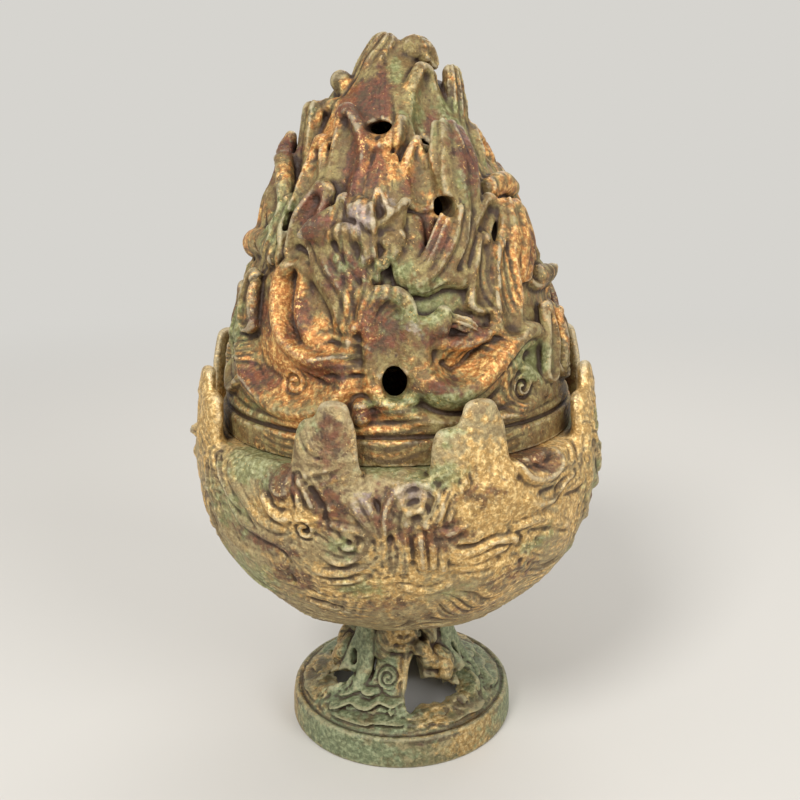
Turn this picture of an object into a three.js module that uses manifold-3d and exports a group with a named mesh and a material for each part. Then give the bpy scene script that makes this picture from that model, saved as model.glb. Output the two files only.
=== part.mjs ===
// A bronze mountain incense burner: a footed bowl with a crown of peaks round its rim, and a hollow lid shaped
// as a mountain of flame-like peaks, pierced by smoke vents. The bowl and its openwork foot are cast apart and
// held by one rivet, and the lid stands loose on the bowl's ledge, centred by a raised lip.
// Millimetres, +Z up. The origin is the centre of the foot's underside, and the front faces -Y.

import * as THREE from 'three';
import { mergeVertices } from 'three/addons/utils/BufferGeometryUtils.js';
import Module from 'manifold-3d';

const wasm = await Module();
wasm.setup();

// Driving dimensions: the foot
const FOOT_RADIUS = 44.5;
const FOOT_BAND_HEIGHT = 12;
const FOOT_BAND_WIDTH = 4.5;
const FOOT_WALL = 4;
const FOOT_HEIGHT = 46.4;
const FOOT_PLATE = 5; // closed top of the neck, which carries the bowl
const NECK_RADIUS = 15.5;
const DOME_DROP = 11.5; // how far down the neck's flare takes to open out

// Driving dimensions: the bowl
const BOWL_RADIUS = 75;
const BOWL_DEPTH = 65; // from its widest ring down to its pole
const BOWL_ROUNDNESS = 2.2; // 2 is an ellipse, and more is fuller
const BOWL_WALL = 4.5;
const SEAT_RADIUS = 15; // flat under the bowl, which stands on the neck
const SHOULDER_HEIGHT = 13; // from the widest ring up to the ledge
const LEDGE_MARGIN = 5; // how far the ledge shows round the lid
const LIP_HEIGHT = 4.5;
const LIP_WALL = 3;
const CROWN_HALF_THICKNESS = 3;
const CROWN_LEAN = 2.2; // how far a peak's tip leans in towards the lid

// Driving dimensions: the lid
const LID_BAND_HEIGHT = 8.5;
const LID_BAND_STEP = 1.5; // how far the band stands proud of the mountain above it
const LID_HEIGHT = 133; // from its underside to the top of the mountain's body
const LID_WALL = 4;
const MOUNTAIN_SHOULDER = 1.7; // a higher power keeps the foothills wide for longer
const MOUNTAIN_TAPER = 0.8; // a higher power gives a thinner summit
const SUMMIT_LAG = 7; // how far under the slope that it follows the hollow's top stays, for a thicker summit
const VENT_HALF_WIDTH = 4.4;
const VENT_HALF_HEIGHT = 5.5;
const SMALL_VENT = 2.8;

// Driving dimensions: the rivet and its washer
const RIVET_RADIUS = 3;
const RIVET_HEAD_RADIUS = 7;
const RIVET_HEAD_HEIGHT = 4;
const RIVET_TAIL_RADIUS = 5.5;
const RIVET_TAIL_HEIGHT = 2.5;
const WASHER_RADIUS = 9;
const WASHER_THICKNESS = 1.5;

// Clearances
const JOINT_GAP = 0.3; // between faces that rest on each other
const LIP_CLEARANCE = 0.6; // between the bowl's lip and the lid's bore
const CROWN_CLEARANCE = 1.8; // between the lid's band and the crown's leaning tips

// Places that follow from the sizes
const BOWL_FOOT_Z = FOOT_HEIGHT + JOINT_GAP;
const BOWL_WAIST_Z = BOWL_FOOT_Z + BOWL_DEPTH;
const LEDGE_Z = BOWL_WAIST_Z + SHOULDER_HEIGHT;
const LID_Z = LEDGE_Z + JOINT_GAP;
const LID_RADIUS = BOWL_RADIUS - 2 * CROWN_HALF_THICKNESS - CROWN_LEAN - CROWN_CLEARANCE;
const LEDGE_RADIUS = LID_RADIUS + LEDGE_MARGIN;
const LID_BORE = LID_RADIUS - LID_BAND_STEP - LID_WALL;
const LIP_OUTER = LID_BORE - LIP_CLEARANCE;
const LIP_INNER = LIP_OUTER - LIP_WALL;
const BOWL_FLOOR_Z = BOWL_FOOT_Z + BOWL_WALL;
const BORE_RADIUS = RIVET_RADIUS + JOINT_GAP;
const PLATE_UNDERSIDE_Z = FOOT_HEIGHT - FOOT_PLATE;

// Facets
const LATHE_SIDES = 32;
const PEAK_SIDES = 6;
const RIDGE_SIDES = 4;
const TUNNEL_QUARTER_STEPS = 5;
const RIVET_SIDES = 20;

const BRONZE = { color: 0x9a7a45, roughness: 0.62, metalness: 0.55 };
const GREEN_BRONZE = { color: 0x76744c, roughness: 0.7, metalness: 0.4 };
const IRON = { color: 0x5a4638, roughness: 0.75, metalness: 0.6 };

const radians = THREE.MathUtils.degToRad;

// Closed solids: a lathed profile, and a tapering body of elliptical sections along a path

function solidOf(geometry) {
  const bare = geometry.index ? geometry.toNonIndexed() : geometry;
  const points = new THREE.BufferGeometry().setAttribute('position', bare.getAttribute('position'));
  const merged = mergeVertices(points, 1e-4);
  return new wasm.Manifold(new wasm.Mesh({
    numProp: 3,
    vertProperties: merged.attributes.position.array,
    triVerts: new Uint32Array(merged.index.array),
  }));
}

// The profile is [radius, height] pairs, anticlockwise, from the axis to the axis or closed on itself.
function lathed(profile, sides = LATHE_SIDES) {
  const points = profile.map(([radius, height]) => new THREE.Vector2(radius, height));
  return solidOf(new THREE.LatheGeometry(points, sides).rotateX(Math.PI / 2));
}

function rod(radius, bottom, top, sides = LATHE_SIDES) {
  return lathed([[0, bottom], [radius, bottom], [radius, top], [0, top]], sides);
}

// path is Vector3s from root to tip. widths are half widths across the path and thickness is the half
// thickness away from the object's axis, one value or one for each point.
function taperingBody(path, widths, thickness, sides) {
  const vertices = [];
  const triangles = [];
  const last = path.length - 1;
  const at = (list, i) => (Array.isArray(list) ? list[i] : list);
  path.forEach((point, i) => {
    const along = path[Math.min(i + 1, last)].clone().sub(path[Math.max(i - 1, 0)]).normalize();
    const out = new THREE.Vector3(point.x, point.y, 0).normalize();
    const across = along.clone().cross(out).normalize();
    const away = across.clone().cross(along).normalize();
    for (let k = 0; k < sides; k++) {
      const turn = (2 * Math.PI * k) / sides;
      vertices.push(point.clone()
        .addScaledVector(across, at(widths, i) * Math.cos(turn))
        .addScaledVector(away, at(thickness, i) * Math.sin(turn)));
    }
  });
  for (let i = 0; i < last; i++) {
    for (let k = 0; k < sides; k++) {
      const next = (k + 1) % sides;
      const [a, b] = [i * sides + k, i * sides + next];
      const [c, d] = [a + sides, b + sides];
      triangles.push([a, c, b], [b, c, d]);
    }
  }
  const root = vertices.push(path[0]) - 1;
  const overshoot = at(thickness, last) * 0.6;
  const tipWay = path[last].clone().sub(path[last - 1]).normalize();
  const tip = vertices.push(path[last].clone().addScaledVector(tipWay, overshoot)) - 1;
  for (let k = 0; k < sides; k++) {
    const next = (k + 1) % sides;
    triangles.push([root, k, next], [tip, last * sides + next, last * sides + k]);
  }
  const position = triangles.flat().flatMap((i) => vertices[i].toArray());
  const geometry = new THREE.BufferGeometry();
  geometry.setAttribute('position', new THREE.Float32BufferAttribute(position, 3));
  return solidOf(geometry);
}

// A point at an azimuth in degrees (0 is the front, positive to the right), a radius and a height.
function around(azimuth, radius, z) {
  const turn = radians(azimuth);
  return new THREE.Vector3(radius * Math.sin(turn), -radius * Math.cos(turn), z);
}

// A straight tunnel of elliptical section through a wall, pointing away from the axis.
function tunnel(azimuth, z, halfWidth, halfHeight, fromRadius, toRadius) {
  const centre = around(azimuth, fromRadius, z);
  const shape = new THREE.Shape();
  shape.absellipse(0, 0, halfWidth, halfHeight, 0, 2 * Math.PI);
  const bar = new THREE.ExtrudeGeometry(shape, {
    depth: toRadius - fromRadius, bevelEnabled: false, curveSegments: TUNNEL_QUARTER_STEPS,
  });
  bar.rotateX(Math.PI / 2);
  bar.rotateZ(radians(azimuth));
  bar.translate(centre.x, centre.y, centre.z);
  return solidOf(bar);
}

const joined = (first, others) => others.reduce((whole, piece) => whole.add(piece), first);
const cut = (first, others) => others.reduce((whole, piece) => whole.subtract(piece), first);

function steps(count, make) {
  return Array.from({ length: count + 1 }, (_, i) => make(i / count));
}

// The lid: a hollow mountain

// Radius of the mountain's body at a share of its height
function mountainRadius(share) {
  return (LID_RADIUS - LID_BAND_STEP) * (1 - share ** MOUNTAIN_SHOULDER) ** MOUNTAIN_TAPER;
}

const levelOnLid = (percent) => LID_Z + (LID_HEIGHT * percent) / 100;

// A point near the mountain's slope: azimuth, height in percent of the lid, and distance off the slope
function onSlope(azimuth, percent, lift) {
  return around(azimuth, mountainRadius(percent / 100) + lift, levelOnLid(percent));
}

// A point near the summit: right of and behind the axis in percent of the lid's radius, and height in percent
function nearSummit(right, behind, percent) {
  return new THREE.Vector3((LID_RADIUS * right) / 100, (LID_RADIUS * behind) / 100, levelOnLid(percent));
}

// Peaks and ridges of one face of the mountain, as places on its slope. Each peak is a path from its root to
// its free tip and its half widths.
const FACE_PEAKS = [
  // Pillar left of the vent
  { path: [[-26, 62, 0], [-23, 68, 2], [-26, 75, 3], [-34, 81, 3.5]], widths: [6.5, 7.5, 6.5, 4] },
  // Leaf behind the pillar
  { path: [[-44, 57, 0], [-42, 66, 2], [-45, 74, 3]], widths: [6, 6.5, 3.5] },
  // Leaf under the pillar
  { path: [[-39, 48, 1], [-36, 55.5, 3], [-31, 63, 4]], widths: [6, 6.4, 4] },
  // Ribbed dome
  { path: [[29, 59, 0.5], [28, 66, 3.5], [31, 73, 4.5], [36, 78, 3]], widths: [8, 9.2, 8.6, 5], thickness: 5 },
  // Flame beside the dome
  { path: [[13, 60, 0.5], [11, 68, 2], [13, 74, 3.5]], widths: [6.5, 5.4, 1.6] },
  // Ribbon coming down
  { path: [[5, 55.5, 0.5], [5, 47, 1.5], [8, 42, 2.5]], widths: [5, 5.5, 5], thickness: 2.8 },
  // Ribbon rising right
  { path: [[8, 42, 2.5], [14, 45, 3], [20, 51, 4], [25, 58, 5]], widths: [5, 6.5, 7, 5.4] },
  // Broad dome at the right
  { path: [[49, 43, 1], [53, 51, 3], [57, 58.5, 3.5]], widths: [9, 10, 7], thickness: 4.6 },
  // Sweeping leaf
  { path: [[38, 30, 1.5], [39, 38, 3], [40, 45, 4], [44, 52, 4.5]], widths: [6, 7.4, 6.4, 1.8] },
  // Slanting ribbed strand
  { path: [[-13, 32, 0.5], [-16, 40, 2], [-22, 45, 2.5], [-28, 50, 3]], widths: [6, 7, 7, 6] },
  // Post beside the tongue
  { path: [[-11, 24, 0], [-10.5, 31.5, 2]], widths: [5, 4.8], thickness: 3 },
  // Tongue over the vent
  { path: [[-2, 22.5, 0.5], [-2, 31.5, 2.5], [-2, 38, 3.5]], widths: [7.5, 8.4, 7], thickness: 3.4 },
  // Left foothill leaf
  { path: [[-60, 30, 1], [-61, 36, 2.5], [-60, 42, 3]], widths: [7, 6.5, 3] },
  // Right foothill leaf
  { path: [[57, 16.5, 1], [59, 25.5, 2.5], [60, 33, 3]], widths: [5.5, 6, 3] },
];
const FACE_RIDGES = [
  // Pocket under the upper vent
  { path: [[-25, 80, 1.5], [-17, 75, 2], [-9, 73, 2], [0, 75, 2], [4, 79, 1]], radius: 2 },
  // Hood of the tongue
  { path: [[-11, 32, 1], [-11, 41, 3], [2, 39.5, 4.4], [4, 34.5, 3]], radius: 1.8 },
  // Outer sweep
  {
    path: [[6, 25, 0.5], [9, 20, 2], [17, 16.5, 2.6], [25, 18.5, 3], [36, 25.5, 3.6], [47, 29, 3.2], [55, 25.5, 1]],
    radius: 2.6,
  },
  // Inner sweep
  { path: [[8, 28.5, 1], [20, 28, 2], [35, 31.5, 2]], radius: 1.8 },
  // Outer left pocket
  {
    path: [
      [-71, 27, 0.6], [-61, 21, 1], [-54, 16, 1.2], [-44, 13, 1.2],
      [-30, 11, 1.2], [-19, 14, 1.2], [-15, 18, 1.2], [-16, 23, 0.6],
    ],
    radius: 2,
  },
  // Inner left pocket
  {
    path: [
      [-14, 26, 0.5], [-18, 25, 1.6], [-26, 24, 2], [-34, 26, 2],
      [-42, 32, 2], [-45, 42, 2.2], [-39, 46.5, 2.2], [-33, 44.5, 1.2],
    ],
    radius: 2.2,
  },
  // Foothill line
  { path: [[-5, 20, 0.4], [-4, 15, 0.6], [6, 11, 0.6], [24, 9.5, 0.6], [50, 11.5, 0.3]], radius: 1.6 },
  // Leaf crest
  { path: [[31, 13.5, 0.5], [37, 19.5, 1], [41, 21, 1], [48, 16.5, 0.8], [56, 11.5, 0.4]], radius: 1.6 },
];

// What only the front has: two small beasts among the peaks, and two knobs
const FRONT_BEASTS = [
  // Beast body
  { path: [[-1, 50, 3], [-6, 55, 5.5], [-13, 56.5, 6.5]], widths: [5, 7, 6], thickness: [3.4, 4.4, 4.2] },
  // Beast head
  {
    path: [[-14, 55.5, 6.5], [-21, 54.5, 8], [-28, 54, 8.5], [-33, 53.5, 8]],
    widths: [4.6, 4.8, 3.4, 1.6],
    thickness: [3.6, 3.6, 2.8, 1.6],
  },
  // Beast ear
  { path: [[-3, 55.5, 6], [-5, 59.5, 7.4], [-6, 63, 8]], widths: [3.2, 3, 1.2], thickness: [2.4, 2.2, 1] },
  // Beast hind leg
  { path: [[-17, 52, 5], [-14, 47, 3.4], [-9, 43, 2.4]], widths: [4.4, 4.8, 4], thickness: [3.2, 3.2, 2.6] },
  // Perched bird
  { path: [[9, 31, 1], [13, 32.5, 3], [15, 35.5, 3.4]], widths: [4, 4.2, 2.6], thickness: [3, 3.4, 2.4] },
  // Oval boss
  { path: [[18.5, 43, 1.5], [23, 42, 1.5]], widths: [3, 2.8], thickness: 2.8 },
  // Bead
  { path: [[-10, 11.5, 0.4], [-10, 14, 0.4]], widths: [3, 3], thickness: 3 },
];

// Peaks at the sides, which stand on the outline that the front shows
const SIDE_PEAKS = [
  // Right roll
  { path: [[52, 62.5, 1], [62, 64, 3], [72, 62.5, 3]], widths: [3.8, 3.8, 3.2], thickness: [3.6, 3.6, 3] },
  // Right thorn
  { path: [[68, 40, 0.5], [77, 40, 3], [83, 41.5, 6]], widths: [4.4, 3.6, 1.4], thickness: [3.6, 3, 1.2] },
  // Right foothill leaf
  { path: [[74, 15, 0.5], [77, 22.5, 2], [76, 30, 2.5]], widths: [6, 6.4, 3.4] },
  // Right dome
  { path: [[74, 45, -1], [77, 54, -1], [80, 61.5, -0.5]], widths: [7, 7.4, 5], thickness: 3.8 },
  // Left peak
  {
    path: [[-60, 57, 1], [-68, 64.5, 3.6], [-78, 70.5, 5.4], [-82, 76, 6.5]],
    widths: [8, 8, 6, 1.8],
    thickness: [4.6, 4.6, 4, 1.6],
  },
  // Left horn
  {
    path: [[-56, 48, 0], [-64, 49.5, 0.5], [-73, 49.5, 1], [-80, 49, 1.5]],
    widths: [5.4, 4.6, 4.8, 5.2],
    thickness: [4.4, 4.2, 4.6, 5.2],
  },
  // Left leaf
  { path: [[-76, 52.5, 0.5], [-80, 60, 2.5], [-88, 66, 3]], widths: [7, 6.5, 3.4] },
  // Left shoulder peak
  { path: [[-76, 25.5, -0.5], [-77, 34.5, -1.5], [-74, 43, -1]], widths: [7, 7, 3.4] },
  // Rear left pillar
  { path: [[-112, 42, 0], [-113, 52.5, 2], [-116, 61, 3]], widths: [8, 8.5, 5], thickness: 4 },
  // Rear right pillar
  { path: [[106, 48, 0], [107, 58.5, 1.8], [110, 67, 3]], widths: [8, 8.5, 5], thickness: 4 },
  // Rear right leaf
  { path: [[98, 19.5, 0], [99, 30, 1.6], [104, 38.5, 2.5]], widths: [8, 8, 3.4] },
  // Rear left leaf
  { path: [[-98, 19.5, 0], [-99, 28.5, 1.6], [-95, 36, 2.5]], widths: [8, 8, 3.4] },
  // Rear right foothill leaf
  { path: [[120, 25.5, 0], [121, 34.5, 1.8], [118, 43, 2.5]], widths: [7, 6.6, 3] },
  // Rear left foothill leaf
  { path: [[-122, 24, 0], [-124, 33, 1.8], [-128, 41.5, 2.5]], widths: [7, 6.6, 3] },
];
const SIDE_RIDGES = [
  // Right rear pocket
  {
    path: [[84, 30, 0.5], [86, 20, 1], [94, 13, 1], [106, 11, 1], [118, 15, 1], [122, 22, 0.5]],
    radius: 2,
  },
  // Left rear pocket
  {
    path: [[-84, 26, 0.5], [-86, 18, 1], [-94, 12, 1], [-106, 11, 1], [-116, 16, 1], [-118, 24, 0.5]],
    radius: 2,
  },
];

// The summit, one cluster seen from every side, as places near the summit
const SUMMIT_PEAKS = [
  // Summit leaf
  {
    path: [[-11, -9, 75], [-12.5, -7.5, 84], [-11, -4.5, 91], [-4.5, -3, 97]],
    widths: [9.4, 9.8, 9, 6.5],
    thickness: [7, 7, 6, 4.4],
  },
  // Summit curl
  {
    path: [[3, -4.5, 91], [12.5, -5.5, 95.5], [21.5, -5.5, 93.5]],
    widths: [5, 5, 2.4],
    thickness: [4.6, 4.4, 2],
  },
  // Knobbed stem
  {
    path: [[-18.5, -12.5, 82], [-24, -11, 86.5], [-27, -9, 89.5]],
    widths: [3.4, 3, 3.8],
    thickness: [3.4, 3, 3.8],
  },
  // Core behind the summit leaf
  { path: [[3, 3, 84], [4.5, 3, 90], [4.5, 1.5, 94.5]], widths: [9, 7.5, 5], thickness: [8, 6.5, 5] },
  // Upper left pillar
  {
    path: [[-45, -18.5, 63], [-44.5, -17, 72], [-41.5, -14.5, 82]],
    widths: [6, 5.6, 4.8],
    thickness: [5, 4.4, 4],
  },
  // Strand beside the pillar
  { path: [[-31, -27.5, 69], [-29, -23, 76], [-27.5, -19, 80.5]], widths: [4.4, 4.4, 3.4], thickness: 3.4 },
  // Left saddle
  { path: [[-9, -23, 82], [-21.5, -20, 82.5], [-34, -14.5, 83]], widths: [3.4, 3.2, 3], thickness: 3 },
  // Twin pillar
  {
    path: [[14, -32.5, 73], [14.5, -27.5, 79.5], [15.5, -21.5, 86.5], [17, -17, 91]],
    widths: [7, 7.6, 7.4, 5],
    thickness: 3.4,
  },
  // Tall right finger
  {
    path: [[34, -15.5, 70.5], [34, -12.5, 78], [33, -9, 85], [31.5, -6, 91]],
    widths: [5.6, 5.6, 5.6, 4.6],
    thickness: [5, 4.4, 4, 3.4],
  },
  // Low right finger
  { path: [[43, -12.5, 63], [41.5, -9, 70.5], [38.5, -6, 76.5]], widths: [6, 5.6, 3.6], thickness: 4 },
  // Rear leaf
  { path: [[-3, 34, 69], [-3, 26, 79.5], [-1.5, 17, 88.5]], widths: [10, 9, 4.6], thickness: 4.8 },
  // Rear right leaf
  { path: [[27.5, 23, 69], [24, 18.5, 78], [20, 14, 85.5]], widths: [8, 7, 4], thickness: 4.4 },
  // Rear left leaf
  { path: [[-32.5, 24.5, 67.5], [-27.5, 20, 77.5], [-24.5, 14, 84]], widths: [8, 7, 4], thickness: 4.4 },
];

const VENTS = [
  { azimuth: -0.5, percent: 20, halfWidth: VENT_HALF_WIDTH, halfHeight: VENT_HALF_HEIGHT },
  { azimuth: -9, percent: 78, halfWidth: SMALL_VENT * 1.2, halfHeight: SMALL_VENT * 0.85 },
  { azimuth: 21, percent: 59, halfWidth: SMALL_VENT, halfHeight: SMALL_VENT * 1.15 },
];

const BACK_TURN = 180;
const PEAK_HALF_THICKNESS = 3.2;

function placed(path, place, turn) {
  const axis = new THREE.Vector3(0, 0, 1);
  return path.map((entry) => place(...entry).applyAxisAngle(axis, radians(turn)));
}

function peakOf({ path, widths, thickness = PEAK_HALF_THICKNESS }, place, turn = 0) {
  return taperingBody(placed(path, place, turn), widths, thickness, PEAK_SIDES);
}

function ridgeOf({ path, radius }, place, turn = 0) {
  return taperingBody(placed(path, place, turn), radius, radius, RIDGE_SIDES);
}

function mountainLid() {
  const body = lathed([
    [0, LID_Z],
    [LID_RADIUS, LID_Z],
    [LID_RADIUS, LID_Z + LID_BAND_HEIGHT],
    ...steps(13, (s) => {
      const share = LID_BAND_HEIGHT / LID_HEIGHT + s * (1 - LID_BAND_HEIGHT / LID_HEIGHT);
      return [s === 1 ? 0 : mountainRadius(share), LID_Z + share * LID_HEIGHT];
    }),
  ]);
  const faces = [0, BACK_TURN].flatMap((turn) => [
    ...FACE_PEAKS.map((peak) => peakOf(peak, onSlope, turn)),
    ...FACE_RIDGES.map((ridge) => ridgeOf(ridge, onSlope, turn)),
  ]);
  const single = [
    ...[...SIDE_PEAKS, ...FRONT_BEASTS].map((peak) => peakOf(peak, onSlope)),
    ...SIDE_RIDGES.map((ridge) => ridgeOf(ridge, onSlope)),
    ...SUMMIT_PEAKS.map((peak) => peakOf(peak, nearSummit)),
  ];
  const hollowTop = LID_HEIGHT - 4 * LID_WALL;
  const hollow = lathed([
    [0, LID_Z - LID_WALL],
    [LID_BORE, LID_Z - LID_WALL],
    ...steps(9, (s) => {
      const radius = mountainRadius((s * (hollowTop + SUMMIT_LAG)) / LID_HEIGHT) - LID_WALL;
      return [s === 1 ? 0 : radius, LID_Z + s * hollowTop];
    }),
  ]);
  const vents = VENTS.flatMap(({ azimuth, percent, halfWidth, halfHeight }) => [0, BACK_TURN].map((turn) =>
    tunnel(azimuth + turn, levelOnLid(percent), halfWidth, halfHeight, LID_WALL, LID_RADIUS + LID_WALL)));
  return cut(joined(body, [...faces, ...single]), [hollow, ...vents]);
}

// The bowl: a full round cup with an incurved mouth, a lip that centres the lid and a crown of peaks

function bowlRadius(fromWaist, radius, depth) {
  const share = Math.min(1, Math.abs(fromWaist) / depth);
  return radius * (1 - share ** BOWL_ROUNDNESS) ** (1 / BOWL_ROUNDNESS);
}

// Each crown peak: its azimuth, its rise over the ledge, its half width, and its lobe's offset and rise
const CROWN = [
  { azimuth: -16, rise: 22, halfWidth: 9.2, lobe: { offset: -5.5, rise: 20 } },
  { azimuth: 21.5, rise: 22, halfWidth: 9, lobe: { offset: -9.5, rise: 13 } },
  { azimuth: 71, rise: 24, halfWidth: 9, lobe: { offset: -8, rise: 15 } },
  { azimuth: 106, rise: 30, halfWidth: 10, lobe: { offset: 8, rise: 20 } },
  { azimuth: 144, rise: 22, halfWidth: 9, lobe: { offset: -8, rise: 14 } },
  { azimuth: 180, rise: 24, halfWidth: 9, lobe: { offset: 8, rise: 16 } },
  { azimuth: 216, rise: 22, halfWidth: 9, lobe: { offset: 8, rise: 14 } },
  { azimuth: -106, rise: 30, halfWidth: 10, lobe: { offset: -8, rise: 20 } },
  { azimuth: -71, rise: 24, halfWidth: 10, lobe: { offset: 8, rise: 16 } },
];
const CROWN_ROOT_DEPTH = 14; // how far below the ledge a peak grows out of the wall
const LOBE_SHARE = 0.62; // a lobe's half width against its peak's

function crownPeak({ azimuth, rise, halfWidth }) {
  const radius = BOWL_RADIUS - CROWN_HALF_THICKNESS;
  const at = (height, inset) => around(azimuth, radius - inset, LEDGE_Z + height);
  const tip = rise - halfWidth * 0.3;
  return taperingBody(
    [at(-CROWN_ROOT_DEPTH, 0.5), at(0, 0), at(rise * 0.55, CROWN_LEAN / 2), at(tip, CROWN_LEAN)],
    [halfWidth * 1.75, halfWidth * 1.2, halfWidth * 0.92, halfWidth * 0.6],
    [CROWN_HALF_THICKNESS * 0.8, CROWN_HALF_THICKNESS, CROWN_HALF_THICKNESS, CROWN_HALF_THICKNESS * 0.8],
    PEAK_SIDES,
  );
}

// A point on the bowl's side: azimuth, angle up from the centre of its widest ring, and lift off the surface
function onBowl(azimuth, angle, lift) {
  const level = Math.cos(radians(angle));
  const drop = Math.max(-Math.sin(radians(angle)), 0);
  const spread = (level / BOWL_RADIUS) ** BOWL_ROUNDNESS + (drop / BOWL_DEPTH) ** BOWL_ROUNDNESS;
  const reach = spread ** (-1 / BOWL_ROUNDNESS) + lift;
  return around(azimuth, reach * level, BOWL_WAIST_Z + reach * Math.sin(radians(angle)));
}

// The main folds of a third of the bowl's side, as places on it, which it repeats at each of its turns
const BOWL_TURNS = [0, 119, 231];
const BOWL_FOLDS = [
  // Rim of the left pocket
  { path: [[-37, 3, -0.5], [-33, -2, 0], [-27, -3.5, 0], [-21, -1, 0], [-19, 5, -0.5]], radius: 2 },
  // Long fold under the pocket
  { path: [[-56, -1, -0.8], [-46, -5, 0], [-34, -8.5, 0], [-25, -12, 0], [-21, -17, -0.8]], radius: 1.8 },
  // Ring
  { path: [[-18, 0, -0.5], [-20, -6, 0], [-17, -12, 0], [-10, -13, 0], [-5, -9, 0]], radius: 1.8 },
  // Arch
  { path: [[-3, -6, -0.5], [-4, 2, 0], [0, 8, 0.3], [5, 10, 0.3], [10, 6, 0.3], [9, -3, -0.5]], radius: 2.2 },
  // Fold at the right
  { path: [[11, -4, -0.8], [18, -6.5, 0], [26, -6, 0], [36, -2.5, -0.8]], radius: 1.8 },
  // Rim of the right pocket
  { path: [[29, 13, -0.5], [32, 7, 0], [38, 4.5, 0], [46, 6.5, 0], [50, 12, -0.5]], radius: 2.2 },
  // Fold under the right pocket
  { path: [[33, -6, -0.8], [40, -4.5, 0], [46, -6, 0], [52, -12, -0.8]], radius: 1.8 },
  // Low wave
  { path: [[-4, -18, -0.8], [1, -22, 0], [8, -22.5, 0], [14, -18, -0.8]], radius: 1.8 },
];
const BOWL_MOUNDS = [
  // Left boss
  { path: [[-33, 5, -0.5], [-25, 5, -0.5]], widths: [4.5, 4.5], thickness: 2.4 },
];

function burnerBowl() {
  const innerRadius = BOWL_RADIUS - BOWL_WALL;
  const innerDepth = BOWL_DEPTH - BOWL_WALL;
  const seatStart = 1 - ((SEAT_RADIUS + 2) / BOWL_RADIUS) ** BOWL_ROUNDNESS;
  const outerBottom = -BOWL_DEPTH * seatStart ** (1 / BOWL_ROUNDNESS);
  const outer = steps(9, (s) => {
    const fromWaist = outerBottom * (1 - s) ** 1.5;
    return [bowlRadius(fromWaist, BOWL_RADIUS, BOWL_DEPTH), BOWL_WAIST_Z + fromWaist];
  });
  const inner = steps(8, (s) => {
    const fromWaist = -innerDepth * s ** 1.5;
    return [bowlRadius(fromWaist, innerRadius, innerDepth), BOWL_WAIST_Z + fromWaist];
  }).filter(([, z]) => z > BOWL_FLOOR_Z + 1);
  const mouthZ = LEDGE_Z - BOWL_WALL;
  const cup = lathed([
    [0, BOWL_FOOT_Z],
    [SEAT_RADIUS, BOWL_FOOT_Z],
    ...outer,
    [BOWL_RADIUS - 0.8, BOWL_WAIST_Z + SHOULDER_HEIGHT * 0.5],
    [LEDGE_RADIUS, LEDGE_Z],
    [LIP_OUTER, LEDGE_Z],
    [LIP_OUTER, LEDGE_Z + LIP_HEIGHT],
    [LIP_INNER, LEDGE_Z + LIP_HEIGHT],
    [LIP_INNER, mouthZ],
    ...inner,
    [RIVET_HEAD_RADIUS + 2, BOWL_FLOOR_Z],
    [0, BOWL_FLOOR_Z],
  ]);
  const crown = CROWN.flatMap((peak) => [
    crownPeak(peak),
    crownPeak({
      azimuth: peak.azimuth + peak.lobe.offset,
      rise: peak.lobe.rise,
      halfWidth: peak.halfWidth * LOBE_SHARE,
    }),
  ]);
  const folds = BOWL_TURNS.flatMap((turn) => [
    ...BOWL_FOLDS.map((fold) => ridgeOf(fold, onBowl, turn)),
    ...BOWL_MOUNDS.map((mound) => peakOf(mound, onBowl, turn)),
  ]);
  return joined(cup, [...crown, ...folds]).subtract(rod(BORE_RADIUS, BOWL_FOOT_Z - 1, BOWL_FLOOR_Z + 1, RIVET_SIDES));
}

// The foot: a pierced dome of waves on a plain band, with three beasts' necks rising to carry the bowl

function domeRadius(z) {
  const start = FOOT_RADIUS - FOOT_BAND_WIDTH;
  return NECK_RADIUS + (start - NECK_RADIUS) * Math.exp((FOOT_BAND_HEIGHT - z) / DOME_DROP);
}

// A point on the foot's dome: azimuth, share of the way up from the band to the top, and lift off the surface
function onDome(azimuth, share, lift) {
  const z = FOOT_BAND_HEIGHT + share * (FOOT_HEIGHT - FOOT_BAND_HEIGHT);
  return around(azimuth, domeRadius(z) + lift, z);
}

// Necks and waves of a third of the dome, as places on it, which the foot repeats at each of its turns
const FOOT_TURNS = [0, 120, 240];
const FOOT_NECKS = [
  // Rising neck
  {
    path: [[-31, 0.04, 0], [-33, 0.32, 1], [-36, 0.62, 1.5], [-38, 0.9, 0.5]],
    widths: [6, 5, 4, 4],
    thickness: 3,
  },
  // Curled brow
  { path: [[36, 0.2, 0], [34, 0.42, 1.5], [30, 0.58, 2]], widths: [5, 5.5, 3.5], thickness: 2.5 },
];
const FOOT_WAVES = [
  // Wave crest
  { path: [[-70, 0.12, 0], [-52, 0.04, 1], [-34, 0.12, 1], [-18, 0.1, 1], [0, 0.14, 0.5]], radius: 1.8 },
];
const FOOT_HOLES = [
  { azimuth: 9, share: 0.34, halfWidth: 4, halfHeight: 6.5 },
  { azimuth: 23, share: 0.22, halfWidth: 5.5, halfHeight: 4 },
  { azimuth: -53, share: 0.28, halfWidth: 4.6, halfHeight: 2.6 },
];

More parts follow.
